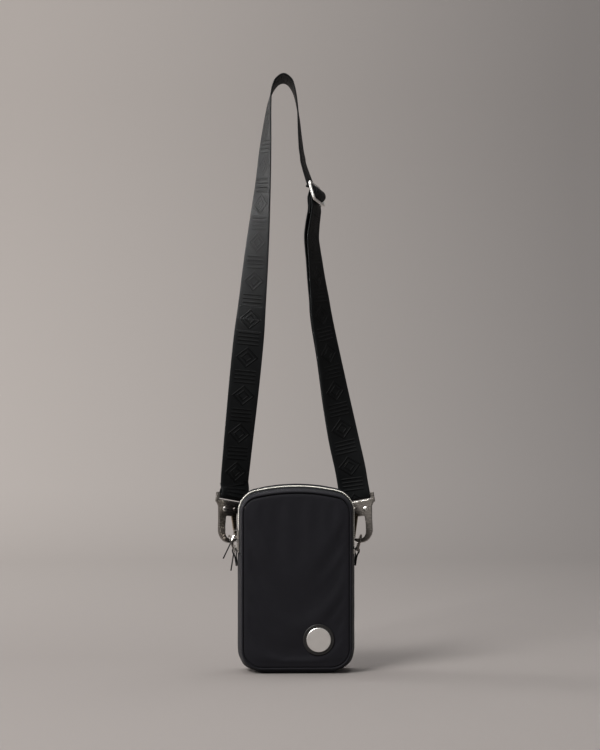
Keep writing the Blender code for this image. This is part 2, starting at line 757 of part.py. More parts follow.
def slider(name, z):
    """Outer and inner plates, edge flanges, the post that parts the teeth, and the pull's bridge."""
    top_in = slider_x(CHAIN_INSET - FIT)
    top_out = top_in - SLIDER_PLATE
    low_out = slider_x(CHAIN_INSET + CHAIN_HEIGHT + FIT)
    low_in = low_out + SLIDER_PLATE
    half = SLIDER_HALF_WIDTH
    body = slider_plate(name, z, top_out, top_in, half)
    fuse(body, slider_plate(name + "_inner", z, low_out, low_in, half - SLIDER_FLANGE))
    length = SLIDER_LENGTH / 2
    post_z = z + length - POST_LENGTH * 1.5
    post = block(
        name + "_post",
        (top_in - SLIDER_PLATE / 2, ZIP_Y - POST_THICKNESS / 2, post_z),
        (low_out + SLIDER_PLATE / 2, ZIP_Y + POST_THICKNESS / 2, post_z + POST_LENGTH), silver())
    fuse(body, post)
    tape_out = slider_x(CHAIN_INSET + CHAIN_HEIGHT / 2 - TAPE_THICKNESS / 2 - FIT)
    flange_low = z - length * FLANGE_LOW_SHARE
    flange_high = z + length * FLANGE_HIGH_SHARE
    for label, side in (("front", -1), ("back", 1)):
        edge = ZIP_Y + side * half
        inner_edge = edge - side * SLIDER_FLANGE
        flange = block(
            name + "_flange_" + label,
            (top_in - SLIDER_PLATE / 2, min(edge, inner_edge), flange_low),
            (tape_out, max(edge, inner_edge), flange_high), silver())
        fuse(body, flange)
    bridge_base = top_out + SLIDER_PLATE / 2
    peak = top_out - BRIDGE_HEIGHT
    half_run = BRIDGE_LENGTH / 2
    lift = BRIDGE_HEIGHT * 2 / 3
    route = [
        Vector((bridge_base, ZIP_Y, z - half_run)), Vector((top_out - lift, ZIP_Y, z - half_run)),
        Vector((peak, ZIP_Y, z - half_run / 2)), Vector((peak, ZIP_Y, z + half_run / 2)),
        Vector((top_out - lift, ZIP_Y, z + half_run)), Vector((bridge_base, ZIP_Y, z + half_run)),
    ]
    across = [Vector((0.0, 1.0, 0.0))] * len(route)
    fuse(body, ribbon(name + "_bridge", route, across, BRIDGE_WIDTH, BRIDGE_BAR, silver()))
    return pivot_at(body, Vector((top_in, ZIP_Y, z)))


def folded_strip(name, bar, down, out, loop_radius, legs, ends_apart, width, ply, material):
    """A strip folded round a bar that runs along Y, with its two legs brought together below it.

    down points from the bar along the strip and out square to it; ends_apart is the distance
    between the legs' middles at their lower ends.
    """
    start = bar - out * loop_radius
    route = [
        bar + down * legs[0] - out * (ends_apart / 2),
        bar + down * (loop_radius * LEG_START_SHARE) - out * (ends_apart / 2),
        start + down * loop_radius,
    ]
    for i in range(FOLD_STEPS + 1):
        angle = math.pi * i / FOLD_STEPS
        turned_out = out * (loop_radius * math.cos(angle)) + down * (loop_radius * math.sin(angle))
        route.append(bar - turned_out)
    route += [
        bar + out * loop_radius + down * loop_radius,
        bar + down * (loop_radius * LEG_START_SHARE) + out * (ends_apart / 2),
        bar + down * legs[1] + out * (ends_apart / 2),
    ]
    across = [Vector((0.0, 1.0, 0.0))] * len(route)
    return ribbon(name, route, across, width, ply, material)


def loop_path(start, down, length, half_width, corner):
    """A rounded rectangle that hangs down from start, with its short sides along Y."""
    side = Vector((0.0, 1.0, 0.0))
    corners = [(1, False), (1, True), (-1, True), (-1, False)]
    path = []
    for quarter, (sign, far) in enumerate(corners):
        centre = start + down * (length - corner if far else corner)
        centre = centre + side * (sign * (half_width - corner))
        for i in range(3):
            angle = math.pi / 2 * (quarter - 1 + i / 2)
            reach = side * (corner * math.cos(angle)) + down * (corner * math.sin(angle))
            path.append(centre + reach)
    return path


def pull(name, slider_z, link_length, lean):
    """Wire link through the slider's bridge, and the leather tab folded round its lower end."""
    hang = LINK_WIRE + BRIDGE_BAR / 2 + FIT
    peak = slider_x(CHAIN_INSET - FIT) - SLIDER_PLATE - BRIDGE_HEIGHT
    start = Vector((peak + hang, ZIP_Y, slider_z - BRIDGE_LENGTH / 8))
    down = Vector((-math.sin(lean), 0.0, -math.cos(lean)))
    out = Vector((-math.cos(lean), 0.0, math.sin(lean)))
    path = loop_path(start, down, link_length, LINK_HALF_WIDTH, LINK_WIRE * 2)
    pivot_at(tube(name + "_link", path, LINK_WIRE, WIRE_SIDES, silver(), closed=True), start)
    bar = start + down * link_length
    radius = LINK_WIRE + FIT + PULL_TAB_PLY / 2
    legs = (PULL_TAB_LENGTH, PULL_TAB_LENGTH)
    tab_width = (LINK_HALF_WIDTH - LINK_WIRE * 2) * 2 - FIT
    apart = PULL_TAB_PLY + FIT
    tab = folded_strip(
        name + "_tab", bar, down, out, radius, legs, apart, tab_width, PULL_TAB_PLY, leather())
    pivot_at(tab, start)


def sliders():
    """Two sliders that meet at the left end of the zip, each with its pull."""
    lower = LOWER_SLIDER_Z
    upper = LOWER_SLIDER_Z + SLIDER_SPACING
    slider("lower_slider", lower)
    slider("upper_slider", upper)
    pull("lower_pull", lower, LOWER_LINK_LENGTH, LOWER_PULL_LEAN)
    pull("upper_pull", upper, UPPER_LINK_LENGTH, UPPER_PULL_LEAN)


# Rings on the sides


def ring_and_tab(name, side, ring_lean):
    """A D-shaped ring, leaning outwards, and the webbing tab that holds its straight bar."""
    bar = Vector((side * RING_BAR_X, RING_Y, RING_BAR_Z))
    up = Vector((side * math.sin(ring_lean), 0.0, math.cos(ring_lean)))
    along = Vector((0.0, 1.0, 0.0))
    half = RING_HALF_WIDTH
    corner = RING_WIRE * 1.5
    path = []
    for sign in (1, -1):
        centre = bar + along * (sign * (half - corner)) + up * corner
        first = -math.pi / 2 if sign < 0 else 0.0
        turns = [first - math.pi / 4 * i for i in range(3)]
        path += [centre + along * (corner * math.cos(a)) + up * (corner * math.sin(a)) for a in turns]
    centre = bar + up * (RING_LENGTH - half)
    for i in range(RING_ARC_STEPS + 1):
        angle = math.pi - math.pi * i / RING_ARC_STEPS
        path.append(centre + along * (half * math.cos(angle)) + up * (half * math.sin(angle)))
    pivot_at(tube(name + "_d_ring", path, RING_WIRE, WIRE_SIDES, gunmetal(), closed=True), bar)
    foot = bar.z - TAB_FOOT_Z
    foot_x = BODY_WIDTH / 2 - side_inset(RING_Y - TAB_WIDTH / 2, (1.0, 0.0)) + FIT + TAB_PLY
    lean = math.atan2(RING_BAR_X - foot_x, foot)
    down = Vector((-side * math.sin(lean), 0.0, -math.cos(lean)))
    out = Vector((side * math.cos(lean), 0.0, -math.sin(lean)))
    radius = RING_WIRE + FIT + TAB_PLY / 2
    legs = (foot, foot)
    apart = TAB_PLY + FIT
    folded_strip(
        name + "_ring_tab", bar, down, out, radius, legs, apart, TAB_WIDTH, TAB_PLY, webbing())


# Snap hooks


class HookPlace:
    """Where one hook lies: its rod's middle, the direction of the rod and the plate's up."""

    def __init__(self, side, contact_x, yaw, lean):
        turn = Matrix.Rotation(-side * yaw, 3, "Z") @ Matrix.Rotation(-lean, 3, "X")
        turn = turn @ Matrix.Rotation(-side * HOOK_TILT, 3, "Y")
        self.side = side
        self.right = turn @ Vector((1.0, 0.0, 0.0))
        self.up = turn @ Vector((0.0, 0.0, 1.0))
        contact = Vector((side * contact_x, RING_Y, CONTACT_Z))
        self.rod = contact - self.right * (side * HOOK_CONTACT_U) + self.up * HOOK_CONTACT_V
        self.back = self.up.cross(self.right)


LEFT_PLACE = HookPlace(-1, LEFT_CONTACT_X, LEFT_HOOK_YAW, LEFT_HOOK_LEAN)
RIGHT_PLACE = HookPlace(1, RIGHT_CONTACT_X, RIGHT_HOOK_YAW, RIGHT_HOOK_LEAN)


def hook_points(place, shares):
    """Points of a table of shares in the hook's own plane, mirrored for the left side."""
    return [(place.side * u * HOOK_HALF_WIDTH, v * HOOK_DROP) for u, v in shares]


def hook_body(name, place, carrier):
    """Plate, arm and nose from one outline, with ears and rod for the webbing and a slot for the gate."""
    half = HOOK_THICKNESS / 2
    side = place.side
    body = prism(name, hook_points(place, HOOK_OUTLINE_SHARES), -half, half, gunmetal())
    body.parent = carrier
    soften(body, HOOK_EDGE)
    ear_foot = PLATE_TOP_SHARE * HOOK_DROP - ROD_RADIUS * 2
    for label, sign in (("inner", -1), ("outer", 1)):
        low = min(sign * EAR_INNER, sign * EAR_OUTER)
        high = max(sign * EAR_INNER, sign * EAR_OUTER)
        ear = block(
            name + "_ear_" + label, (low, -EAR_DEPTH / 2, ear_foot),
            (high, EAR_DEPTH / 2, ROD_RADIUS * 1.5), gunmetal())
        fuse(body, soften(ear, HOOK_EDGE))
    reach = (EAR_INNER + EAR_OUTER) / 2
    profile = [(-reach, ROD_RADIUS), (reach, ROD_RADIUS)]
    fuse(body, turned(name + "_rod", profile, Vector(), ACROSS, PIN_SIDES, gunmetal()))
    slot_half = GATE_THICKNESS / 2 + FIT
    slot_edge = PIVOT_U + GATE_HEAD_RADIUS + FIT * 2
    slot_far = -HOOK_HALF_WIDTH
    low = min(side * slot_edge, side * slot_far)
    high = max(side * slot_edge, side * slot_far)
    slot_top = PIVOT_V + GATE_HEAD_RADIUS + FIT
    slot_foot = WINDOW_TOP_SHARE * HOOK_DROP - OVERRUN
    slot = block(name + "_slot", (low, -slot_half, slot_foot), (high, slot_half, slot_top), gunmetal())
    cut(body, slot)
    reach = half + OVERRUN
    for label, u, v, radius in (
        ("pin", PIVOT_U, PIVOT_V, PIN_RADIUS), ("rivet", RIVET_U, RIVET_V, RIVET_RADIUS)):
        profile = [(-reach, radius + FIT), (reach, radius + FIT)]
        centre = Vector((side * u, 0.0, v))
        cut(body, turned(name + "_" + label + "_bore", profile, centre, DEPTH, BORE_SIDES, gunmetal()))
    return body


def headed_pin(name, carrier, centre, radius, head_radius, head, material):
    """A pin through the plate with a domed head on each face."""
    face = HOOK_THICKNESS / 2 + FIT
    dome = [(face + head * height, head_radius * share) for height, share in HEAD_PROFILE_SHARES]
    profile = [(-distance, size) for distance, size in dome]
    profile += [(-face, radius), (face, radius)]
    profile += dome[::-1]
    pin = turned(name, profile, centre, DEPTH, PIN_SIDES, material)
    pin.parent = carrier
    return pin


def gate(name, place, carrier):
    """The sprung lever that closes the hook, with a pocket for its spring."""
    side = place.side
    arc = circle(
        (PIVOT_U, PIVOT_V), GATE_HEAD_RADIUS, GATE_HEAD_STEPS, GATE_HEAD_START, GATE_HEAD_SWEEP)
    outline = [(side * u, v) for u, v in arc] + hook_points(place, GATE_EDGE_SHARES)
    half = GATE_THICKNESS / 2
    lever = prism(name, outline, -half, half, gunmetal())
    lever.parent = carrier
    soften(lever, HOOK_EDGE / 2)
    centre = Vector((side * PIVOT_U, 0.0, PIVOT_V))
    reach = half + OVERRUN
    profile = [(-reach, PIN_RADIUS + FIT), (reach, PIN_RADIUS + FIT)]
    cut(lever, turned(name + "_bore", profile, centre, DEPTH, BORE_SIDES, gunmetal()))
    profile = [(-reach, GATE_POCKET_RADIUS), (GATE_POCKET_DEPTH - half, GATE_POCKET_RADIUS)]
    cut(lever, turned(name + "_pocket", profile, centre, DEPTH, BORE_SIDES, gunmetal()))
    return pivot_at(lever, centre)


def gate_spring(name, place, carrier):
    """Torsion spring coiled round the gate's pin, in the gate's pocket."""
    side = place.side
    first = -GATE_THICKNESS / 2 + SPRING_WIRE + FIT / 2
    path = []
    for i in range(SPRING_TURNS * SPRING_STEPS + 1):
        angle = 2 * math.pi * i / SPRING_STEPS
        path.append(Vector((
            side * (PIVOT_U + SPRING_RADIUS * math.cos(angle)),
            first + SPRING_PITCH * i / SPRING_STEPS,
            PIVOT_V + SPRING_RADIUS * math.sin(angle))))
    spring = tube(name, path, SPRING_WIRE, SPRING_SIDES, silver())
    spring.parent = carrier
    return spring


def snap_hook(name, place, strap_axis):
    """One hook with its gate, pin, spring and fixed rivet."""
    carrier = frame_at(name + "_frame", place.rod, place.right, place.up, strap_axis)
    hook_body(name + "_hook", place, carrier)
    gate(name + "_gate", place, carrier)
    pivot = Vector((place.side * PIVOT_U, 0.0, PIVOT_V))
    headed_pin(
        name + "_gate_pin", carrier, pivot, PIN_RADIUS, PIN_HEAD_RADIUS, PIN_HEAD, gunmetal())
    rivet = Vector((place.side * RIVET_U, 0.0, RIVET_V))
    headed_pin(
        name + "_hook_rivet", carrier, rivet, RIVET_RADIUS, RIVET_HEAD_RADIUS, RIVET_HEAD, silver())
    gate_spring(name + "_gate_spring", place, carrier)


# Strap


def smooth_through(rows, samples):
    """Catmull-Rom curve through rows of numbers, at an even spacing of its parameter."""
    rows = np.array(rows, dtype=float)
    padded = np.vstack([2 * rows[0] - rows[1], rows, 2 * rows[-1] - rows[-2]])
    result = []
    for i in range(len(rows) - 1):
        a, b, c, d = padded[i:i + 4]
        for j in range(samples):
            t = j / samples
            result.append(0.5 * (2 * b + (c - a) * t + (2 * a - 5 * b + 4 * c - d) * t ** 2
                                 + (3 * b - a - 3 * c + d) * t ** 3))
    result.append(rows[-1])
    return np.array(result)


class Spine:
    """Middle line of the strap with its own frame: along it, across its width and out of its face."""

    def __init__(self):
        left = LEFT_PLACE.rod
        right = RIGHT_PLACE.rod
        rod_z = (left.z + right.z) / 2
        rod_y = (left.y + right.y) / 2
        rows = []
        for height, side, depth, heading in STRAP_ROUTE_SHARES:
            angle = math.radians(heading)
            roll = ARCH_ROLL * max(math.sin(angle), 0.0) ** 6 * (height > ARCH_SHARE)
            across = (math.cos(angle), -math.sin(angle), math.sin(roll))
            z = rod_z + STRAP_RISE * height
            rows.append((side * STRAP_HALF_SPREAD, rod_y * depth, z, *across))
        rows = self.square_end(left, LEFT_PLACE.right, rows[0]) + rows
        rows += self.square_end(right, -RIGHT_PLACE.right, rows[-1])[::-1]
        table = smooth_through(rows, ROUTE_SAMPLES)
        self.points = table[:, :3]
        self.across = table[:, 3:]
        steps = np.linalg.norm(np.diff(self.points, axis=0), axis=1)
        self.distance = np.concatenate([[0.0], np.cumsum(steps)])
        self.length = float(self.distance[-1])
        self.slopes = np.gradient(self.points, self.distance, axis=0)

    @staticmethod
    def square_end(rod, across, towards):
        """Two rows at a rod: the webbing leaves it square to its axis and without twist."""
        away = Vector(towards[:3]) - rod
        away = (away - across * away.dot(across)).normalized() * SQUARE_RUN
        return [(*rod, *across), (*(rod + away), *across)]

    def look_up(self, values, s):
        inside = min(max(s, 0.0), self.length)
        return Vector([float(np.interp(inside, self.distance, values[:, k])) for k in range(3)])

    def frame(self, s):
        """Point, tangent, width direction and outward face direction at a distance s."""
        tangent = self.look_up(self.slopes, s).normalized()
        across = self.look_up(self.across, s)
        across = (across - tangent * across.dot(tangent)).normalized()
        point = self.look_up(self.points, s)
        beyond = s - min(max(s, 0.0), self.length)
        return point + tangent * beyond, tangent, across, across.cross(tangent)

    def at_height(self, share):
        """Distance of a height on the right-hand run."""
        z = (LEFT_PLACE.rod.z + RIGHT_PLACE.rod.z) / 2 + STRAP_RISE * share
        half = len(self.points) // 2
        below = [i for i in range(half, len(self.points)) if self.points[i][2] <= z]
        return float(self.distance[below[0]])


def strap_route(spine):
    """The webbing's one length in (distance along the spine, distance out of its face)."""
    loop = ROD_RADIUS + FIT + LOOP_EASE + WEBBING_THICKNESS / 2
    near = PLY_HALF_SPACE
    length = spine.length
    middle = spine.at_height(ADJUSTER_SHARE)
    pitch = ADJUSTER_BAR_SPACING
    ply = WEBBING_THICKNESS + FIT + LOOP_EASE
    bar = ADJUSTER_BAR + FIT + LOOP_EASE + WEBBING_THICKNESS / 2
    level = near + bar  # face distance of the adjuster's bars
    lead = loop * LEAD_SHARE
    aside = loop * LEAD_SIDE_SHARE
    route = [(SEWN_END, -near), ((SEWN_END + lead) / 2, -near), (lead, -aside)]
    route += [(-loop * math.cos(a), -loop * math.sin(a)) for a in arc_angles(90.0, -90.0)]
    route += [(lead, aside), ((SEWN_END + lead) / 2, near), (SEWN_END, near)]
    route += [(SEWN_END * 2, near), (SEWN_END * 4, 0.0)]
    ahead = middle - pitch
    first = SEWN_END * 5
    gentle = [first + (ahead - first) * i / PLAIN_STEPS for i in range(PLAIN_STEPS - 2)]
    route += [(s, 0.0) for s in gentle[:-2]]
    route += [(s, near / 2) for s in gentle[-2:]]
    route += [(ahead, near), (ahead + pitch * 0.28, near + bar * 0.35)]
    over = bar + ply
    route += [(middle - pitch * 0.52, level)]
    route += [
        (middle - over * math.cos(a), level + over * math.sin(a)) for a in arc_angles(45.0, 135.0)]
    route += [(middle + pitch * 0.52, level), (middle + pitch * 0.72, near + bar * 0.35)]
    route += [(middle + pitch, near), (middle + pitch * 1.5, near)]
    top = middle + pitch * 2
    span = length - SEWN_END - top
    shares = [i / DOUBLE_STEPS for i in range(DOUBLE_STEPS + 1)]
    route += [(top + span * share, near) for share in shares]
    route += [(length - lead, aside)]
    route += [(length + loop * math.cos(a), loop * math.sin(a)) for a in arc_angles(90.0, -90.0)]
    route += [(length - lead, -aside)]
    stack = near - ply * 2
    for share in shares:
        moved = min(max((share - STACK_START_SHARE) / STACK_RUN_SHARE, 0.0), 1.0)
        route.append((top + span * (1.0 - share), -near + (stack + near) * moved))
    route += [(middle + pitch, stack), (middle + pitch * 0.45, stack + ply * 0.55)]
    route += [
        (middle - bar * math.cos(a), level + bar * math.sin(a)) for a in arc_angles(-60.0, 180.0)]
    route += [(middle + pitch * 0.47, level - bar * 0.9), (middle + pitch * 0.75, near - ply * 0.75)]
    route += [(middle + pitch, near - ply), (middle + SEWN_TAIL / 2, near - ply)]
    route += [(middle + SEWN_TAIL, near - ply)]
    return route


def arc_angles(first, last):
    """Angles in radians, about LOOP_STEP apart, between two limits in degrees."""
    count = max(int(abs(last - first) / LOOP_STEP), 1)
    return [math.radians(first + (last - first) * i / count) for i in range(count + 1)]


def strap(strap_axis):
    """One length of webbing: left hook, arch, adjuster, right hook and back to the adjuster."""
    spine = Spine()
    path = []
    widths = []
    for s, out in strap_route(spine):
        point, tangent, across, face = spine.frame(s)
        path.append(point + face * out)
        widths.append(across)
    length = ribbon("strap_webbing", path, widths, WEBBING_WIDTH, WEBBING_THICKNESS, webbing())
    pivot_at(length, strap_axis.location)
    adjuster(spine, strap_axis)


def adjuster(spine, strap_axis):
    """Three-bar slide: a rounded frame with a middle bar, on the strap's right-hand run."""
    bar = ADJUSTER_BAR + FIT + LOOP_EASE + WEBBING_THICKNESS / 2
    point, tangent, across, face = spine.frame(spine.at_height(ADJUSTER_SHARE))
    centre = point + face * (PLY_HALF_SPACE + bar)
    carrier = frame_at("adjuster_frame", centre, across, tangent, strap_axis)
    half_run = ADJUSTER_BAR_SPACING
    half = ADJUSTER_HALF_WIDTH
    corner = ADJUSTER_BAR * 2
    path = []
    for quarter, (sx, sz) in enumerate(((1, 1), (-1, 1), (-1, -1), (1, -1))):
        for i in range(4):
            angle = math.pi / 2 * (quarter + i / 3)
            path.append(Vector((
                sx * (half - corner) + corner * math.cos(angle), 0.0,
                sz * (half_run - corner) + corner * math.sin(angle))))
    body = tube("strap_adjuster", path, ADJUSTER_BAR, ADJUSTER_SIDES, silver(), closed=True)
    body.parent = carrier
    profile = [(-half, ADJUSTER_MIDDLE_BAR), (half, ADJUSTER_MIDDLE_BAR)]
    fuse(body, turned("adjuster_middle_bar", profile, Vector(), ACROSS, ADJUSTER_SIDES, silver()))


# Badge


def badge():
    """Plain round patch with a bare plate on the lower right of the front."""
    face = -(BODY_HALF_DEPTH + PIPING_RADIUS + PANEL_CROWN)
    foot = Vector((BADGE_X, face - FIT, BADGE_Z))
    patch = [(BADGE_THICKNESS * t, BADGE_RADIUS * r) for t, r in BADGE_RIM_SHARES]
    turned("badge_patch", patch, foot, -DEPTH, BADGE_STEPS, leather())
    foot = foot - DEPTH * (BADGE_THICKNESS + FIT)
    plate = [(BADGE_PLATE_THICKNESS * t, BADGE_PLATE_RADIUS * r) for t, r in BADGE_RIM_SHARES]
    turned("badge_plate", plate, foot, -DEPTH, BADGE_STEPS, silver())


def main():
    clear_scene()
    panels()
    gussets()
    zip_chain()
    sliders()
    ring_and_tab("left", -1, LEFT_RING_LEAN)
    ring_and_tab("right", 1, RIGHT_RING_LEAN)
    strap_axis = empty_at("strap_axis", Vector((0.0, RING_Y, CONTACT_Z)))
    snap_hook("left", LEFT_PLACE, strap_axis)
    snap_hook("right", RIGHT_PLACE, strap_axis)
    strap(strap_axis)
    badge()
    bpy.context.view_layer.update()


main()
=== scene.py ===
"""Looks of the small upright crossbody bag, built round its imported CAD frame.

Metres, +Z up, the front of the bag towards -Y. The sizes that shape the CAD part are repeated here,
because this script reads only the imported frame.
"""

import math

import bmesh
import bpy
import numpy as np
from mathutils import Matrix, Vector, noise


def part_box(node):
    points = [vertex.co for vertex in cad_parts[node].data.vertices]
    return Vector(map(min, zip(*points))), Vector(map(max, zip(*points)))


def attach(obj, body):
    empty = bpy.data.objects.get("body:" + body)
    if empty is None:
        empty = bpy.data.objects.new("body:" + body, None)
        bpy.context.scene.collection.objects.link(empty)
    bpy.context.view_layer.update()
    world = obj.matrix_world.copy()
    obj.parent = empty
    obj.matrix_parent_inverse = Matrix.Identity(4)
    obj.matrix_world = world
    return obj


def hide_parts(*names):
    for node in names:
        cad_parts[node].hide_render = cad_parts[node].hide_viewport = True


MM = 0.001

# Body, as in the CAD part
BODY_WIDTH = 121.0 * MM
BODY_HEIGHT = 191.0 * MM
BODY_HALF_DEPTH = 18.9 * MM
TOP_CORNER = 22.5 * MM
BASE_CORNER = 25.0 * MM
ARCH_RADIUS = 190.0 * MM
FRONT_PULL_IN = 5.2 * MM
BACK_PULL_IN = 6.0 * MM
WIDEST_Y = 5.0 * MM
BASE_FLAT_HALF = 15.5 * MM
PIPING_RADIUS = 1.2 * MM
GUSSET_WALL = 1.6 * MM
ZIP_FABRIC_WALL = 1.0 * MM
FIT = 0.3 * MM
ZIP_Y = -1.0 * MM
ZIP_LEFT_END = 122.0 * MM
ZIP_RIGHT_END = 121.0 * MM
ZIP_SLOT_HALF = 4.6 * MM
TOOTH_PITCH = 2.2 * MM
TOOTH_GAP = 0.3 * MM
TOOTH_REACH = 0.65 * MM
SPINE_FAR = 2.4 * MM
CHAIN_INSET = 0.5 * MM
CHAIN_HEIGHT = 2.2 * MM
TAPE_THICKNESS = 0.5 * MM
TAPE_WIDTH = 9.0 * MM
POST_CHANNEL_HALF = 0.75 * MM
CHANNEL_TOP = 167.4 * MM
STOP_LENGTH = 4.6 * MM
STOP_WALL = 0.8 * MM

# Side rings' tabs and pulls, as in the CAD part
RING_Y = 14.5 * MM
RING_WIRE = 1.2 * MM
RING_BAR_X = 63.7 * MM
RING_BAR_Z = 123.2 * MM
TAB_WIDTH = 8.0 * MM
TAB_PLY = 1.2 * MM
TAB_FOOT_Z = 107.0 * MM
LEG_START_SHARE = 3.0

# Hooks' places and the strap, as in the CAD part
CONTACT_Z = 133.4 * MM
HOOK_CONTACT_U = -0.4 * MM
HOOK_CONTACT_V = 45.5 * MM
HOOK_TILT = math.radians(10.6)
HOOK_HALF_WIDTH = 18.5 * MM
HOOK_THICKNESS = 4.6 * MM
PLATE_TOP = -4.72 * MM
RAIL_RADIUS = 0.95 * MM
ROD_RADIUS = 1.6 * MM
WEBBING_WIDTH = 32.0 * MM
WEBBING_THICKNESS = 1.5 * MM
STRAP_RISE = 435.0 * MM
STRAP_HALF_SPREAD = 61.7 * MM
PLY_HALF_SPACE = 0.95 * MM
SEWN_END = 17.0 * MM
LOOP_EASE = 0.2 * MM
SQUARE_RUN = 9.0 * MM
ADJUSTER_BAR_SPACING = 9.6 * MM
ADJUSTER_BAR = 1.5 * MM
ADJUSTER_SHARE = 0.722
SEWN_TAIL = 24.0 * MM
ROUTE_SAMPLES = 12
LEAD_SHARE = 1.6
LEAD_SIDE_SHARE = 0.85
PLAIN_STEPS = 60
DOUBLE_STEPS = 22
STACK_START_SHARE = 0.64
STACK_RUN_SHARE = 0.32
LOOP_STEP = 24.0
ARCH_ROLL = math.radians(10.0)
ARCH_SHARE = 0.9
STRAP_ROUTE_SHARES = [
    (0.045, -1.037, 0.97, -25.0), (0.114, -0.985, 0.90, -20.0), (0.194, -0.925, 0.82, -14.0),
    (0.286, -0.860, 0.74, -4.0), (0.379, -0.795, 0.66, 8.0), (0.456, -0.742, 0.60, 25.0),
    (0.592, -0.655, 0.52, 41.0), (0.740, -0.560, 0.46, 60.0), (0.833, -0.515, 0.42, 69.0),
    (0.923, -0.462, 0.40, 81.0), (0.965, -0.415, 0.40, 87.0), (0.992, -0.320, 0.40, 90.0),
    (1.000, -0.205, 0.40, 90.0), (0.990, -0.095, 0.40, 90.0), (0.962, -0.015, 0.40, 92.0),
    (0.916, 0.038, 0.42, 94.0), (0.863, 0.068, 0.44, 97.0), (0.801, 0.117, 0.46, 101.0),
    (0.757, 0.202, 0.42, 104.0), (0.722, 0.290, 0.30, 106.0), (0.690, 0.325, 0.18, 108.0),
    (0.660, 0.300, 0.12, 110.0), (0.618, 0.272, 0.10, 113.0), (0.570, 0.307, 0.09, 117.0),
    (0.522, 0.341, 0.08, 122.0), (0.474, 0.385, 0.11, 128.0), (0.426, 0.425, 0.16, 134.0),
    (0.331, 0.552, 0.32, 140.0), (0.235, 0.675, 0.52, 153.0), (0.139, 0.810, 0.72, 170.0),
    (0.067, 0.925, 0.86, 183.0),
]

# Camera: level, and turned a little to the left of square
CAMERA_DISTANCE = 1856.0 * MM
CAMERA_HEIGHT = 305.0 * MM
CAMERA_SIDE = 3.9 * MM
CAMERA_TURN = math.radians(1.6)
CAMERA_FOCAL_PIXELS = 1800.0
CAMERA_SENSOR = 36.0
IMAGE_HEIGHT = 750

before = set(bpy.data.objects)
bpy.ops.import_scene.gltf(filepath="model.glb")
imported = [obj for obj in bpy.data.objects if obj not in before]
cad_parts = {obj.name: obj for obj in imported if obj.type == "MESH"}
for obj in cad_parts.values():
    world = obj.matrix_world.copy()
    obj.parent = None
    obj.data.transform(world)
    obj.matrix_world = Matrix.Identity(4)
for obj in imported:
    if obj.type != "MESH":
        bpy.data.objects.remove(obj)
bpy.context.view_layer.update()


# Materials


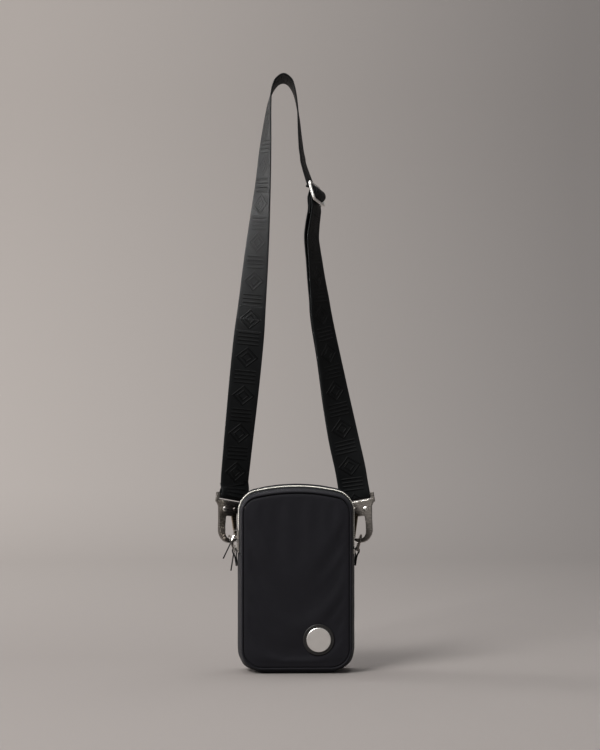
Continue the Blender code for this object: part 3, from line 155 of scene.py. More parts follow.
class Finish:
    """A Principled BSDF material, with short calls that add nodes to it."""

    def __init__(self, name, colour, roughness, metallic=0.0, gloss=0.5, bloom=0.0):
        self.material = bpy.data.materials.new(name)
        self.material.use_nodes = True
        self.tree = self.material.node_tree
        self.shader = self.tree.nodes["Principled BSDF"]
        self.shader.inputs["Base Color"].default_value = (*colour, 1.0)
        self.shader.inputs["Roughness"].default_value = roughness
        self.shader.inputs["Metallic"].default_value = metallic
        self.shader.inputs["Specular IOR Level"].default_value = gloss
        self.shader.inputs["Sheen Weight"].default_value = bloom

    def add(self, kind, **settings):
        node = self.tree.nodes.new(kind)
        for key, value in settings.items():
            setattr(node, key, value)
        return node

    def feed(self, socket, source):
        """Link an output to a socket, or set the socket to a number."""
        if isinstance(source, bpy.types.NodeSocket):
            self.tree.links.new(source, socket)
        else:
            socket.default_value = source

    def maths(self, operation, *values):
        node = self.add("ShaderNodeMath", operation=operation)
        for socket, value in zip(node.inputs, values):
            self.feed(socket, value)
        return node.outputs[0]

    def times(self, first, second):
        return self.maths("MULTIPLY", first, second)

    def apart(self, value, centre):
        return self.maths("ABSOLUTE", self.maths("SUBTRACT", value, centre))

    def wave(self, value, pitch):
        """Sine of a distance, with one turn in each pitch."""
        return self.maths("SINE", self.times(value, 2.0 * math.pi / pitch))

    def axes(self, coordinates):
        """X, Y and Z of the coordinates."""
        node = self.add("ShaderNodeSeparateXYZ")
        self.feed(node.inputs[0], coordinates)
        return node.outputs

    def place(self, kind="Object"):
        """Coordinates of the surface: Object in metres, or UV in metres where a mesh has them."""
        return self.add("ShaderNodeTexCoord").outputs[kind]

    def stretched(self, coordinates, scale):
        node = self.add("ShaderNodeMapping")
        self.feed(node.inputs["Vector"], coordinates)
        node.inputs["Scale"].default_value = scale
        return node.outputs[0]

    def grain(self, coordinates, scale, detail=2.0, rough=0.5):
        node = self.add("ShaderNodeTexNoise")
        self.feed(node.inputs["Vector"], coordinates)
        node.inputs["Scale"].default_value = scale
        node.inputs["Detail"].default_value = detail
        node.inputs["Roughness"].default_value = rough
        return node.outputs["Fac"]

    def spread(self, value, low, high, to_low=0.0, to_high=1.0):
        node = self.add("ShaderNodeMapRange")
        for key, number in (("Value", value), ("From Min", low), ("From Max", high),
                            ("To Min", to_low), ("To Max", to_high)):
            self.feed(node.inputs[key], number)
        return node.outputs[0]

    def blend(self, share, first, second):
        """Mix two colours."""
        node = self.add("ShaderNodeMix", data_type="RGBA")
        self.feed(node.inputs["Factor"], share)
        for name, colour in (("A", first), ("B", second)):
            socket = [s for s in node.inputs if s.name == name and s.type == "RGBA"][0]
            if isinstance(colour, bpy.types.NodeSocket):
                self.feed(socket, colour)
            else:
                socket.default_value = (*colour, 1.0)
        return [s for s in node.outputs if s.type == "RGBA"][0]

    def colour(self, source):
        self.feed(self.shader.inputs["Base Color"], source)

    def roughness(self, source):
        self.feed(self.shader.inputs["Roughness"], source)

    def relief(self, *layers):
        """Bump layers of (height, depth in metres)."""
        normal = None
        for height, depth in layers:
            node = self.add("ShaderNodeBump")
            node.inputs["Distance"].default_value = depth
            self.feed(node.inputs["Height"], height)
            if normal:
                self.feed(node.inputs["Normal"], normal)
            normal = node.outputs[0]
        self.feed(self.shader.inputs["Normal"], normal)

    def woven(self, coordinates, pitch):
        """Height of a plain weave over the X and Y of the coordinates."""
        x, y, _ = self.axes(coordinates)
        return self.times(self.wave(x, pitch), self.wave(y, pitch))

    def band(self, value, centre, half):
        """One in the middle of a band of values, falling to nothing over its edge."""
        return self.spread(self.apart(value, centre), half * 0.45, half * 1.25, 1.0, 0.0)


NYLON_WEAVE = 0.55 * MM
RIB_PITCH = 1.1 * MM
TWILL_PITCH = 0.8 * MM
MOTIF_REPEAT = 40.0 * MM
MOTIF_HEIGHT = 0.9 * MM
# How much darker the raised motif lines are: partly the pattern's own tone, partly painted shade along them.
MOTIF_TONE_AND_PAINTED_SHADE = 0.30
# Shares of the motif's repeat
LOZENGE_CENTRE = 0.32
BARS_START = 0.63
BARS_CENTRE = 0.66
BARS_END = 0.99
BAR_HALF_SPACING = 0.05
BAR_HALF = 0.02
# Shares of half the webbing's width
BARS_HALF_WIDTH = 0.68
SELVEDGE = (0.80, 0.88)
# A lozenge's slopes along and across the webbing, and the middle and half width of its two lines
LOZENGE_ALONG = 3.4
LOZENGE_ACROSS = 1.25
LOZENGE_LINES = ((0.84, 0.09), (0.42, 0.08))


def nylon(name="black_nylon", colour=(0.0084, 0.0083, 0.0112), lift=(0.0138, 0.0136, 0.0180)):
    """Fine smooth nylon with a little unevenness and a soft bloom."""
    made = Finish(name, colour, 0.60, gloss=0.15, bloom=0.03)
    uv = made.place("UV")
    cloudy = made.grain(made.place(), 42.0, 3.0)
    fine = made.grain(made.stretched(uv, (1.0, 6.0, 1.0)), 900.0, 2.0)
    made.colour(made.blend(made.times(cloudy, 0.7), colour, lift))
    made.roughness(made.spread(fine, 0.3, 0.7, 0.56, 0.68))
    made.relief((made.woven(uv, NYLON_WEAVE), 0.02 * MM), (cloudy, 0.25 * MM), (fine, 0.03 * MM))
    return made.material


def webbing_cloth(name, motif):
    """Ribbed webbing with a tone-on-tone woven pattern of lozenges and bars along its middle, its raised
    lines darkened partly as painted shade.
    """
    made = Finish(name, (0.003, 0.0035, 0.0038), 0.54, gloss=0.13)
    uv = made.place("UV")
    along, across, _ = made.axes(uv)
    side = made.maths("ABSOLUTE", made.maths("DIVIDE", across, WEBBING_WIDTH / 2))
    ribs = made.wave(along, RIB_PITCH)
    twill = made.wave(made.maths("ADD", along, across), TWILL_PITCH)
    worn = made.grain(uv, 60.0, 3.0)
    layers = [(made.times(ribs, twill), 0.05 * MM), (worn, 0.3 * MM)]
    share = made.times(worn, 0.6)
    if motif:
        raised = motif_height(made, along, side)
        layers.insert(0, (raised, MOTIF_HEIGHT))
        # Raised lines darkened: partly tone-on-tone colour, partly painted shade.
        share = made.maths("SUBTRACT", share, made.times(raised, MOTIF_TONE_AND_PAINTED_SHADE))
    share = made.maths("ADD", share, made.times(made.spread(side, *SELVEDGE), 0.25))
    made.colour(made.blend(share, (0.0028, 0.0032, 0.0036), (0.0115, 0.0130, 0.0142)))
    made.roughness(made.spread(worn, 0.3, 0.7, 0.48, 0.60))
    made.relief(*layers)
    return made.material


def motif_height(made, along, side):
    """Height of a repeating double lozenge followed by three bars, a common webbing pattern."""
    cycle = made.maths("FRACT", made.maths("DIVIDE", along, MOTIF_REPEAT))
    away = made.times(made.apart(cycle, LOZENGE_CENTRE), LOZENGE_ALONG)
    ring = made.maths("ADD", away, made.times(side, LOZENGE_ACROSS))
    lozenges = made.maths("MAXIMUM", *[made.band(ring, *line) for line in LOZENGE_LINES])
    nearest = made.maths("PINGPONG", made.maths("SUBTRACT", cycle, BARS_CENTRE), BAR_HALF_SPACING)
    stripe = made.band(nearest, 0.0, BAR_HALF)
    begun = made.maths("GREATER_THAN", cycle, BARS_START)
    within = made.times(begun, made.maths("LESS_THAN", cycle, BARS_END))
    bars = made.times(made.times(stripe, within), made.maths("LESS_THAN", side, BARS_HALF_WIDTH))
    return made.maths("MAXIMUM", lozenges, bars)


def brushed(name, colour, dark, roughness, metallic=1.0):
    """Brushed metal: fine streaks one way, with worn, lighter patches."""
    made = Finish(name, colour, roughness, metallic)
    streaks = made.grain(made.stretched(made.place(), (1.0, 1.0, 30.0)), 160.0, 3.0)
    patches = made.grain(made.place(), 120.0, 3.0)
    made.colour(made.blend(patches, dark, colour))
    made.roughness(made.spread(streaks, 0.3, 0.7, roughness - 0.07, roughness + 0.09))
    made.relief((streaks, 0.02 * MM))
    return made.material


def grained_leather(name):
    made = Finish(name, (0.010, 0.0095, 0.0095), 0.48)
    cells = made.add("ShaderNodeTexVoronoi", feature="SMOOTH_F1")
    made.feed(cells.inputs["Vector"], made.place())
    cells.inputs["Scale"].default_value = 1400.0
    cloud = made.grain(made.place(), 90.0)
    made.colour(made.blend(cloud, (0.007, 0.0065, 0.0065), (0.016, 0.015, 0.015)))
    made.roughness(made.spread(cells.outputs["Distance"], 0.0, 0.8, 0.42, 0.60))
    made.relief((cells.outputs["Distance"], 0.05 * MM))
    return made.material


NYLON = nylon()
LINING = nylon("lining_cloth", (0.020, 0.020, 0.022), (0.030, 0.030, 0.033))
WEBBING = webbing_cloth("strap_webbing_cloth", True)
PLAIN_WEBBING = webbing_cloth("plain_webbing", False)
FOAM = nylon("foam_grey", (0.08, 0.08, 0.08), (0.12, 0.12, 0.12))
GUNMETAL = brushed("brushed_gunmetal", (0.27, 0.245, 0.225), (0.16, 0.145, 0.13), 0.27)
WARM_METAL = brushed("warm_gate_metal", (0.42, 0.34, 0.23), (0.22, 0.18, 0.13), 0.24)
SILVER = brushed("polished_silver", (0.80, 0.78, 0.74), (0.68, 0.66, 0.62), 0.20)
PALE_METAL = brushed("pale_tooth_metal", (0.96, 0.94, 0.88), (0.86, 0.84, 0.77), 0.38, 0.7)
PLATE_METAL = brushed("plain_badge_metal", (0.95, 0.935, 0.91), (0.86, 0.845, 0.82), 0.42)
LEATHER = grained_leather("black_leather")
THREAD = nylon("black_thread", (0.012, 0.012, 0.013), (0.030, 0.030, 0.032))
SEAM_THREAD = nylon("strap_thread", (0.030, 0.032, 0.034), (0.055, 0.058, 0.060))


# Meshes


def add_object(name, data):
    obj = bpy.data.objects.new(name, data)
    bpy.context.scene.collection.objects.link(obj)
    return obj


def make_piece(name, points, faces, uvs, material):
    """Link a smooth mesh, with a UV in metres at each corner or none yet."""
    mesh = bpy.data.meshes.new(name)
    mesh.from_pydata([tuple(p) for p in points], [], faces)
    layer = mesh.uv_layers.new(name="UVMap")
    if uvs is not None:
        for face, corners in zip(mesh.polygons, uvs):
            for loop, uv in zip(face.loop_indices, corners):
                layer.data[loop].uv = uv
    mesh.materials.append(material)
    mesh.shade_smooth()
    return add_object(name, mesh)


def turn_angles(count, shift=0.0):
    """Angles spread evenly round a turn."""
    return [2 * math.pi * (i + shift) / count for i in range(count)]


def loops(base, count, rows, closed=False):
    """Faces between rows of points, numbered from base, that each go once round."""
    faces = []
    for i in range(rows if closed else rows - 1):
        near = base + i * count
        far = base + (i + 1) % rows * count
        for j in range(count):
            k = (j + 1) % count
            faces.append((near + j, near + k, far + k, far + j))
    return faces


def capped(base, count, rows):
    """The same with a cap at each end."""
    last = base + (rows - 1) * count
    return loops(base, count, rows) + [
        tuple(reversed(range(base, base + count))), tuple(range(last, last + count))]


def sweep(name, rings, material, closed=False, marks=None):
    """Join equal closed rings of points, round in a loop or with a cap at each end.

    marks gives the V of each point round a ring, so that a weave keeps its scale; without it V is
    the distance round the first ring.
    """
    rings = [np.array([tuple(p) for p in ring]) for ring in rings]
    count = len(rings[0])
    middles = np.array([ring.mean(axis=0) for ring in rings])
    steps = np.linalg.norm(np.diff(middles, axis=0, append=middles[:1]), axis=1)
    along = np.concatenate([[0.0], np.cumsum(steps)])
    if marks is None:
        edges = np.linalg.norm(np.diff(rings[0], axis=0, append=rings[0][:1]), axis=1)
        marks = np.concatenate([[0.0], np.cumsum(edges)])
    faces = loops(0, count, len(rings), True) if closed else capped(0, count, len(rings))
    uvs = []
    for near, far in list(zip(along, along[1:]))[:None if closed else -1]:
        for low, high in zip(marks, marks[1:]):
            uvs.append(((near, low), (near, high), (far, high), (far, low)))
    if not closed:
        uvs.append([(0.0, mark) for mark in marks[count - 1::-1]])
        uvs.append([(along[-1], mark) for mark in marks[:count]])
    obj = make_piece(name, np.vstack(rings), faces, uvs, material)
    outward(obj)
    return obj


def outward(obj):
    """Turn a closed mesh's faces outwards, by the sign of its volume."""
    mesh = obj.data
    volume = 0.0
    for face in mesh.polygons:
        corners = [mesh.vertices[v].co for v in face.vertices]
        for a, b in zip(corners[1:-1], corners[2:]):
            volume += corners[0].dot(a.cross(b))
    if volume < 0.0:
        mesh.flip_normals()


def smooth_through(rows, samples):
    """Catmull-Rom curve through rows of numbers."""
    rows = np.array([tuple(row) for row in rows], dtype=float)
    padded = np.vstack([2 * rows[0] - rows[1], rows, 2 * rows[-1] - rows[-2]])
    result = []
    for i in range(len(rows) - 1):
        a, b, c, d = padded[i:i + 4]
        for j in range(samples):
            t = j / samples
            result.append(0.5 * (2 * b + (c - a) * t + (2 * a - 5 * b + 4 * c - d) * t ** 2
                                 + (3 * b - a - 3 * c + d) * t ** 3))
    result.append(rows[-1])
    return np.array(result)


def smooth_line(rows):
    """Curve through a few points, as vectors."""
    return [Vector(tuple(p)) for p in smooth_through(rows, 4)]


def look_up(rows, distances, s):
    """Point at a distance s between rows of points."""
    return Vector([float(np.interp(s, distances, rows[:, i])) for i in range(3)])


def ribbon(name, path, widths, width, thickness, material, columns=9):
    """A flat strip with rounded edges along a path."""
    half = width / 2 - thickness / 2
    flat = [-half + 2 * half * i / (columns - 1) for i in range(columns)]
    bend = [math.pi / 2 - math.pi * i / 4 for i in range(1, 4)]
    section = [(v, thickness / 2) for v in flat]
    section += [(half + math.cos(a) * thickness / 2, math.sin(a) * thickness / 2) for a in bend]
    section += [(v, -thickness / 2) for v in reversed(flat)]
    section += [(-half - math.cos(a) * thickness / 2, -math.sin(a) * thickness / 2) for a in bend]
    marks = [v for v, t in section] + [section[0][0]]
    count = len(path)
    rings = []
    for i in range(count):
        tangent = (path[min(i + 1, count - 1)] - path[max(i - 1, 0)]).normalized()
        across = (widths[i] - tangent * widths[i].dot(tangent)).normalized()
        out = across.cross(tangent)
        rings.append([path[i] + across * v + out * t for v, t in section])
    return sweep(name, rings, material, marks=marks)


ZIP_STITCH = (2.7 * MM, 2.0 * MM, 0.16 * MM)  # pitch, length and radius
BADGE_STITCH = (2.1 * MM, 1.5 * MM, 0.14 * MM)
STRAP_STITCH = (2.7 * MM, 2.2 * MM, 0.32 * MM)
THREAD_SIDES = 6
THREAD_PROFILE = [  # share of the length, thickness and height, the last two in radii
    (0.0, 0.15, -0.9), (0.15, 0.85, 0.1), (0.5, 1.0, 0.35), (0.85, 0.85, 0.1), (1.0, 0.15, -0.9),
]


def stitches(name, points, normals, size, material):
    """A row of short threads, of a pitch, length and radius, along a path that lies on a surface."""
    pitch, length, radius = size
    points = np.array([tuple(p) for p in points])
    normals = np.array([tuple(n) for n in normals])
    steps = np.concatenate([[0.0], np.cumsum(np.linalg.norm(np.diff(points, axis=0), axis=1))])
    verts = []
    faces = []
    for k in range(int(steps[-1] / pitch)):
        faces += capped(len(verts), THREAD_SIDES, len(THREAD_PROFILE))
        for share, swell, rise in THREAD_PROFILE:
            s = k * pitch + length * share
            middle = look_up(points, steps, s)
            normal = look_up(normals, steps, s).normalized()
            tangent = (look_up(points, steps, s + pitch) - look_up(points, steps, s - pitch)).normalized()
            side = tangent.cross(normal).normalized()
            for a in turn_angles(THREAD_SIDES):
                verts.append(middle + normal * (radius * (rise + swell * math.sin(a)))
                             + side * (radius * swell * math.cos(a)))
    obj = make_piece(name, verts, faces, None, material)
    outward(obj)
    return obj


# Outline of the body


def outline_runs():
    """Straight runs and arcs of the widest outline, clockwise from the middle of the base."""
    half = BODY_WIDTH / 2
    base = half - BASE_CORNER
    reach = ARCH_RADIUS - TOP_CORNER
    slope = math.asin((half - TOP_CORNER) / reach)
    arch_z = BODY_HEIGHT - ARCH_RADIUS
    corner_z = arch_z + reach * math.cos(slope)
    corner_x = half - TOP_CORNER
    quarter = math.pi / 2
    return [
        ("line", (0.0, 0.0), (-base, 0.0), (0.0, -1.0)),
        ("arc", (-base, BASE_CORNER), BASE_CORNER, 2 * quarter, 3 * quarter),
        ("line", (-half, BASE_CORNER), (-half, corner_z), (-1.0, 0.0)),
        ("arc", (-corner_x, corner_z), TOP_CORNER, 3 * quarter, 4 * quarter - slope),
        ("arc", (0.0, arch_z), ARCH_RADIUS, -slope, slope),
        ("arc", (corner_x, corner_z), TOP_CORNER, slope, quarter),
        ("line", (half, corner_z), (half, BASE_CORNER), (1.0, 0.0)),
        ("arc", (base, BASE_CORNER), BASE_CORNER, quarter, 2 * quarter),
        ("line", (base, 0.0), (0.0, 0.0), (0.0, -1.0)),
    ]


def run_length(run):
    if run[0] == "line":
        return math.hypot(run[2][0] - run[1][0], run[2][1] - run[1][1])
    return run[2] * abs(run[4] - run[3])


RUNS = outline_runs()
ARCH_RUN = 4
PERIMETER = sum(run_length(run) for run in RUNS)
LEFT_SIDE_START = run_length(RUNS[0]) + run_length(RUNS[1])


def outline_point(s):
    """Point and outward normal of the widest outline at a distance s along it."""
    s = s % PERIMETER
    for run in RUNS:
        length = run_length(run)
        if s <= length or run is RUNS[-1]:
            break
        s -= length
    share = min(max(s / length, 0.0), 1.0)
    if run[0] == "line":
        start, end, normal = run[1:4]
        return (start[0] + (end[0] - start[0]) * share, start[1] + (end[1] - start[1]) * share), normal
    centre, radius, first, last = run[1:5]
    angle = first + (last - first) * share
    normal = (math.sin(angle), math.cos(angle))
    return (centre[0] + radius * normal[0], centre[1] + radius * normal[1]), normal


def evenly(start, end, spacing):
    """Distances from start to end, both included."""
    count = max(int(round((end - start) / spacing)), 1)
    return [start + (end - start) * i / count for i in range(count + 1)]


def left_side(z):
    return LEFT_SIDE_START + z - BASE_CORNER


def right_side(z):
    return PERIMETER - left_side(z)


def side_inset(y, normal):
    """How far the fabric lies inside the widest outline at a depth y."""
    half = BODY_HALF_DEPTH
    if y < WIDEST_Y:
        side = FRONT_PULL_IN * ((WIDEST_Y - y) / (WIDEST_Y + half)) ** 1.5
        pull = FRONT_PULL_IN
    else:
        side = BACK_PULL_IN * ((y - WIDEST_Y) / (half - WIDEST_Y)) ** 2
        pull = BACK_PULL_IN
    past = max(abs(y) - BASE_FLAT_HALF, 0.0) / (half - BASE_FLAT_HALF)
    base = pull * min(past, 1.0) ** 1.2
    weight = max(-normal[1], 0.0) ** 2
    return side * (1.0 - weight) + base * weight


def on_body(s, inset, y):
    point, normal = outline_point(s)
    return Vector((point[0] - normal[0] * inset, y, point[1] - normal[1] * inset))


def outward_at(s):
    normal = outline_point(s)[1]
    return Vector((normal[0], 0.0, normal[1]))


def ripple(point, size, depth):
    """Smooth unevenness from -depth to depth, over folds of about the given size."""
    return noise.noise(Vector(point) / size) * depth


# Fabric body

GROOVE = 0.12 * MM
TOP_GROOVE = 0.75 * MM
PUCKER_PITCH = 7.5 * MM
PUCKER_DEPTH = 0.12 * MM
PUCKER_WANDER = 3.0  # radians, of the puckers' phase
PUCKER_WANDER_RATE = 40.0  # radians in a metre
PUCKER_START = -0.5  # mm of rise in PANEL_PROFILE, as is the next
PUCKER_RUN = 1.5
PUCKER_FADE = 3.0  # mm of inset in PANEL_PROFILE
PANEL_COLUMNS = 36
PANEL_ROWS = 56
GRID_RELAX_STEPS = 80
PANEL_CROWN = 0.5 * MM
PANEL_CROWN_RUN = 14.0 * MM
PANEL_FOLDS = [(1.0, 40.0 * MM, 0.40 * MM), (9.0, 16.0 * MM, 0.16 * MM)]  # seed, size and depth
PANEL_PROFILE = [  # inset from the seam and rise above the piping's centre, in mm
    (0.0, -2.2), (0.0, 0.0), (0.12, 0.55), (0.5, 0.95), (1.3, 1.25), (2.6, 1.45), (4.4, 1.55),
]
RIM_RUN = 6.0 * MM
CLOTH_FRAMES = 20
CLOTH_SLIDE = 1.0 * MM
CLOTH_SINK = 0.6 * MM
CLOTH_SWELL = 1.6 * MM
CLOTH_GRAVITY = 0.15
CLOTH_SETTINGS = {
    "quality": 6, "mass": 0.25, "tension_stiffness": 12.0, "compression_stiffness": 12.0,
    "shear_stiffness": 5.0, "bending_stiffness": 3.0, "shrink_min": -0.0025,
    "use_pressure": True, "uniform_pressure_force": 0.35, "vertex_group_mass": "sewn",
}
PIPE_SIDES = 12
PIPE_STEP = 1.5 * MM
PIPE_SWELL = 0.05
PIPE_UNEVEN = (30.0 * MM, 0.08 * MM)  # size and depth
STITCH_PITCH = 3.2 * MM
CORNER_FULLNESS = 1.4 * MM
CORNER_SLACK = 3.0 * MM
CORNER_SLACK_TURN = math.radians(24.0)
CORNER_SLACK_RUN = 9.0 * MM
ZIP_LIP = 2.1 * MM
ZIP_DIP = 0.7 * MM
LIP_RUN = 3.0 * MM
WALL_TUCK = 0.4  # share of the piping's radius
WALL_UNEVEN = 0.12 * MM
WALL_UNEVEN_RUN = 22.0 * MM
WALL_UNEVEN_ACROSS = 9.0 * MM
WALL_GATHER = 0.10 * MM
WALL_GATHER_RUN = 2.3 * MM
WALL_GATHER_ACROSS = 6.0 * MM
WALL_FOLD = 0.15 * MM
WALL_FOLD_RUN = 0.5 * MM
CHAIN_RISE = 0.8 * MM
PANEL_DEPTH = 2.2 * MM
PAD_THICKNESS = 2.0 * MM
LINING_THICKNESS = 0.6 * MM
LINING_CROWN = 0.1 * MM
PAD_CROWN = 0.3 * MM
ZIP_STITCH_INSET = 1.7 * MM
ZIP_STITCH_SINK = 0.15 * MM
GUSSET_STEP = 2.2 * MM
GUSSET_ROWS = 25
ZIP_CLOTH_STEP = 2.0 * MM
ZIP_CLOTH_ROWS = 15
POCKET_ROWS = 24
POCKET_SWELL = 0.15 * MM
POCKET_SHOULDER = 0.05 * MM
POCKET_EDGE = 0.1 * MM
SLAB_STEP = 4.0 * MM
SLAB_CENTRE = 0.49  # share of the body's height
SLAB_PROFILE = [  # share of the outline and of half the thickness
    (0.05, -1), (0.5, -1), (0.9, -1), (0.985, -0.8), (1.0, 0.0), (0.985, 0.8), (0.9, 1), (0.5, 1), (0.05, 1),
]


def corner_stations():
    """Middles of the four corner arcs, clockwise from the lower left."""
    found = []
    start = 0.0
    for i, run in enumerate(RUNS):
        if run[0] == "arc" and i != ARCH_RUN:
            found.append(start + run_length(run) / 2)
        start += run_length(run)
    return found


def rim_stations():
    """Distances along the outline whose points bound a grid of PANEL_COLUMNS by PANEL_ROWS."""
    low_left, top_left, top_right, low_right = corner_stations()
    spans = ((low_left, top_left, PANEL_ROWS), (top_left, top_right, PANEL_COLUMNS),
             (top_right, low_right, PANEL_ROWS), (low_right, low_left + PERIMETER, PANEL_COLUMNS))
    return [a + (b - a) * i / count for a, b, count in spans for i in range(count)]


def filled_grid(rim):
    """Rows of points that fill a closed rim smoothly, from the lower edge up."""
    rows, columns = PANEL_ROWS, PANEL_COLUMNS
    left = rim[:rows + 1]
    top = rim[rows:rows + columns + 1]
    right = rim[rows + columns:2 * rows + columns + 1][::-1]
    base = np.vstack([rim[2 * rows + columns:], rim[:1]])[::-1]
    v = (np.arange(rows + 1) / rows)[:, None, None]
    u = (np.arange(columns + 1) / columns)[:, None]
    sides = (1 - u) * left[:, None] + u * right[:, None] + (1 - v) * base + v * top
    grid = sides - ((1 - u) * ((1 - v) * base[0] + v * top[0]) + u * ((1 - v) * base[-1] + v * top[-1]))
    for _ in range(GRID_RELAX_STEPS):
        grid[1:-1, 1:-1] = (grid[:-2, 1:-1] + grid[2:, 1:-1] + grid[1:-1, :-2] + grid[1:-1, 2:]) / 4
    return grid


def rim_distance(grid):
    """Shortest distance of each grid point to the rim."""
    rim = np.vstack([grid[0], grid[-1], grid[:, 0], grid[:, -1]])
    flat = grid.reshape(-1, 3)
    return np.array([np.linalg.norm(rim - p, axis=1).min() for p in flat]).reshape(grid.shape[:2])


def draped(grid, side):
    """Cloth simulation of a panel sewn in at its rim: it swells over its foam and puckers."""
    rows, columns = grid.shape[:2]
    faces = [(j * columns + i, j * columns + i + 1, (j + 1) * columns + i + 1, (j + 1) * columns + i)
             for j in range(rows - 1) for i in range(columns - 1)]
    if side > 0:
        faces = [tuple(reversed(face)) for face in faces]
    mesh = bpy.data.meshes.new("sheet")
    mesh.from_pydata([tuple(p) for p in grid.reshape(-1, 3)], [], faces)
    sheet = add_object("sheet", mesh)
    held = [j * columns + i for j in range(rows) for i in range(columns)
            if i in (0, columns - 1) or j in (0, rows - 1)]
    sheet.vertex_groups.new(name="sewn").add(held, 1.0, "REPLACE")
    settings = sheet.modifiers.new("cloth", "CLOTH").settings
    for key, value in CLOTH_SETTINGS.items():
        setattr(settings, key, value)
    settings.effector_weights.gravity = CLOTH_GRAVITY
    for number in range(1, CLOTH_FRAMES + 1):
        bpy.context.scene.frame_set(number)
    result = sheet.evaluated_get(bpy.context.evaluated_depsgraph_get())
    moved = np.array([tuple(v.co) for v in result.data.vertices]).reshape(grid.shape)
    bpy.context.scene.frame_set(1)
    bpy.data.objects.remove(sheet, do_unlink=True)
    shift = moved - grid
    shift[:, :, (0, 2)] = np.clip(shift[:, :, (0, 2)], -CLOTH_SLIDE, CLOTH_SLIDE)
    shift[:, :, 1] = np.clip(shift[:, :, 1] * side, -CLOTH_SINK, CLOTH_SWELL) * side
    return grid + shift


def cover(name, side, pull, material):
    """Front or back panel: rolls out of the seam, then lies over its foam as simulated cloth."""
    stations = rim_stations()
    rings = []
    for inset, rise in PANEL_PROFILE:
        ring = []
        for s in stations:
            lift = max(outline_point(s)[1][1], 0.0)
            seam = pull + PIPING_RADIUS + GROOVE + TOP_GROOVE * lift ** 2
            weight = min(max((rise - PUCKER_START) / PUCKER_RUN, 0.0), 1.0)
            wander = PUCKER_WANDER * math.sin(s * PUCKER_WANDER_RATE)
            pucker = PUCKER_DEPTH * math.sin(2 * math.pi * s / PUCKER_PITCH + wander)
            pucker *= weight * math.exp(-inset / PUCKER_FADE)
            depth = BODY_HALF_DEPTH + rise * MM + pucker
            ring.append(tuple(on_body(s, seam + inset * MM, side * depth)))
        rings.append(np.array(ring))
    grid = filled_grid(rings[-1])
    inside = rim_distance(grid)
    grid[:, :, 1] += side * PANEL_CROWN * (1.0 - np.exp(-inside / PANEL_CROWN_RUN))
    for place in np.ndindex(inside.shape):
        x, y, z = grid[place]
        folds = sum(ripple((x, seed * side, z), size, depth) for seed, size, depth in PANEL_FOLDS)
        grid[place][1] = y + side * min(inside[place] / RIM_RUN, 1.0) * folds
    grid = draped(grid, side)
    return panel_mesh(name, rings, grid, side, material)


def panel_mesh(name, rings, grid, side, material):
    """One closed mesh from the rolled rim and the filled grid inside it."""
    count = len(rings[0])
    verts = [tuple(p) for ring in rings for p in ring]
    last = (len(rings) - 1) * count
    rows, columns = PANEL_ROWS, PANEL_COLUMNS
    number = {}
    edge = [(j, 0) for j in range(rows)] + [(rows, i) for i in range(columns)]
    edge += [(rows - j, columns) for j in range(rows)] + [(0, columns - i) for i in range(columns)]
    for k, place in enumerate(edge):
        number[place] = last + k
    for j in range(rows + 1):
        for i in range(columns + 1):
            if (j, i) not in number:
                number[(j, i)] = len(verts)
                verts.append(tuple(grid[j, i]))
    faces = loops(0, count, len(rings))
    for j in range(rows):
        for i in range(columns):
            faces.append((number[(j, i)], number[(j, i + 1)], number[(j + 1, i + 1)], number[(j + 1, i)]))
    faces.append(tuple(reversed(range(count))))
    obj = make_piece(name, verts, faces, None, material)
    work = bmesh.new()
    work.from_mesh(obj.data)
    bmesh.ops.recalc_face_normals(work, faces=work.faces)
    work.to_mesh(obj.data)
    work.free()
    outward(obj)
    modifier = obj.modifiers.new("smooth", "SUBSURF")
    modifier.levels = modifier.render_levels = 1
    flat_uv(obj)
    return obj


def flat_uv(obj):
    """UV in metres from X and Z, for pieces that face the front or the back."""
    mesh = obj.data
    layer = mesh.uv_layers[0]
    for loop in mesh.loops:
        p = mesh.vertices[loop.vertex_index].co
        layer.data[loop.index].uv = (p.x, p.z)


def pipe(name, side, pull):
    """Fabric-covered piping cord, gathered a little at its stitches."""
    rings = []
    for s in evenly(0.0, PERIMETER, PIPE_STEP)[:-1]:
        radius = PIPING_RADIUS * (1.0 + PIPE_SWELL * math.sin(2 * math.pi * s / STITCH_PITCH))
        radius += ripple((s * 3.0, side, 0.0), *PIPE_UNEVEN)
        rings.append([on_body(s, pull + radius * math.cos(a), side * BODY_HALF_DEPTH + radius * math.sin(a))
                      for a in turn_angles(PIPE_SIDES)])
    return sweep(name, rings, NYLON, closed=True)


def wall(name, route, depths, thickness, material, lip=0.0):
    """A fabric wall round the body between two depths, a little uneven, with folded edges.

    A positive lip lifts the low edge over the top of the bag, and a negative one sinks the high edge.
    """
    rings = []
    low, high = depths[0], depths[-1]
    for s in route:
        normal = outline_point(s)[1]
        corner = 4.0 * abs(normal[0] * normal[1])
        outer = []
        for y in depths:
            edge = min(y - low, high - y)
            beside = y - low if lip > 0.0 else high - y
            inset = side_inset(y, normal)
            cell = Vector((s / WALL_UNEVEN_RUN, y / WALL_UNEVEN_ACROSS, 2.0))
            inset += WALL_UNEVEN * (1.0 + noise.noise(cell))
            inset += base_rounding(s, abs(y) / BODY_HALF_DEPTH)
            gather = math.sin(s / WALL_GATHER_RUN + y / WALL_GATHER_ACROSS)
            inset += WALL_GATHER * corner * (1.0 + gather)
            inset -= lip * max(normal[1], 0.0) ** 3 * math.exp(-beside / LIP_RUN)
            inset += WALL_FOLD * math.exp(-edge / WALL_FOLD_RUN)
            outer.append(on_body(s, inset, y))
        inner = [on_body(s, side_inset(y, normal) + thickness, y) for y in reversed(depths[::2])]
        rings.append(outer + inner)
    return sweep(name, rings, material)


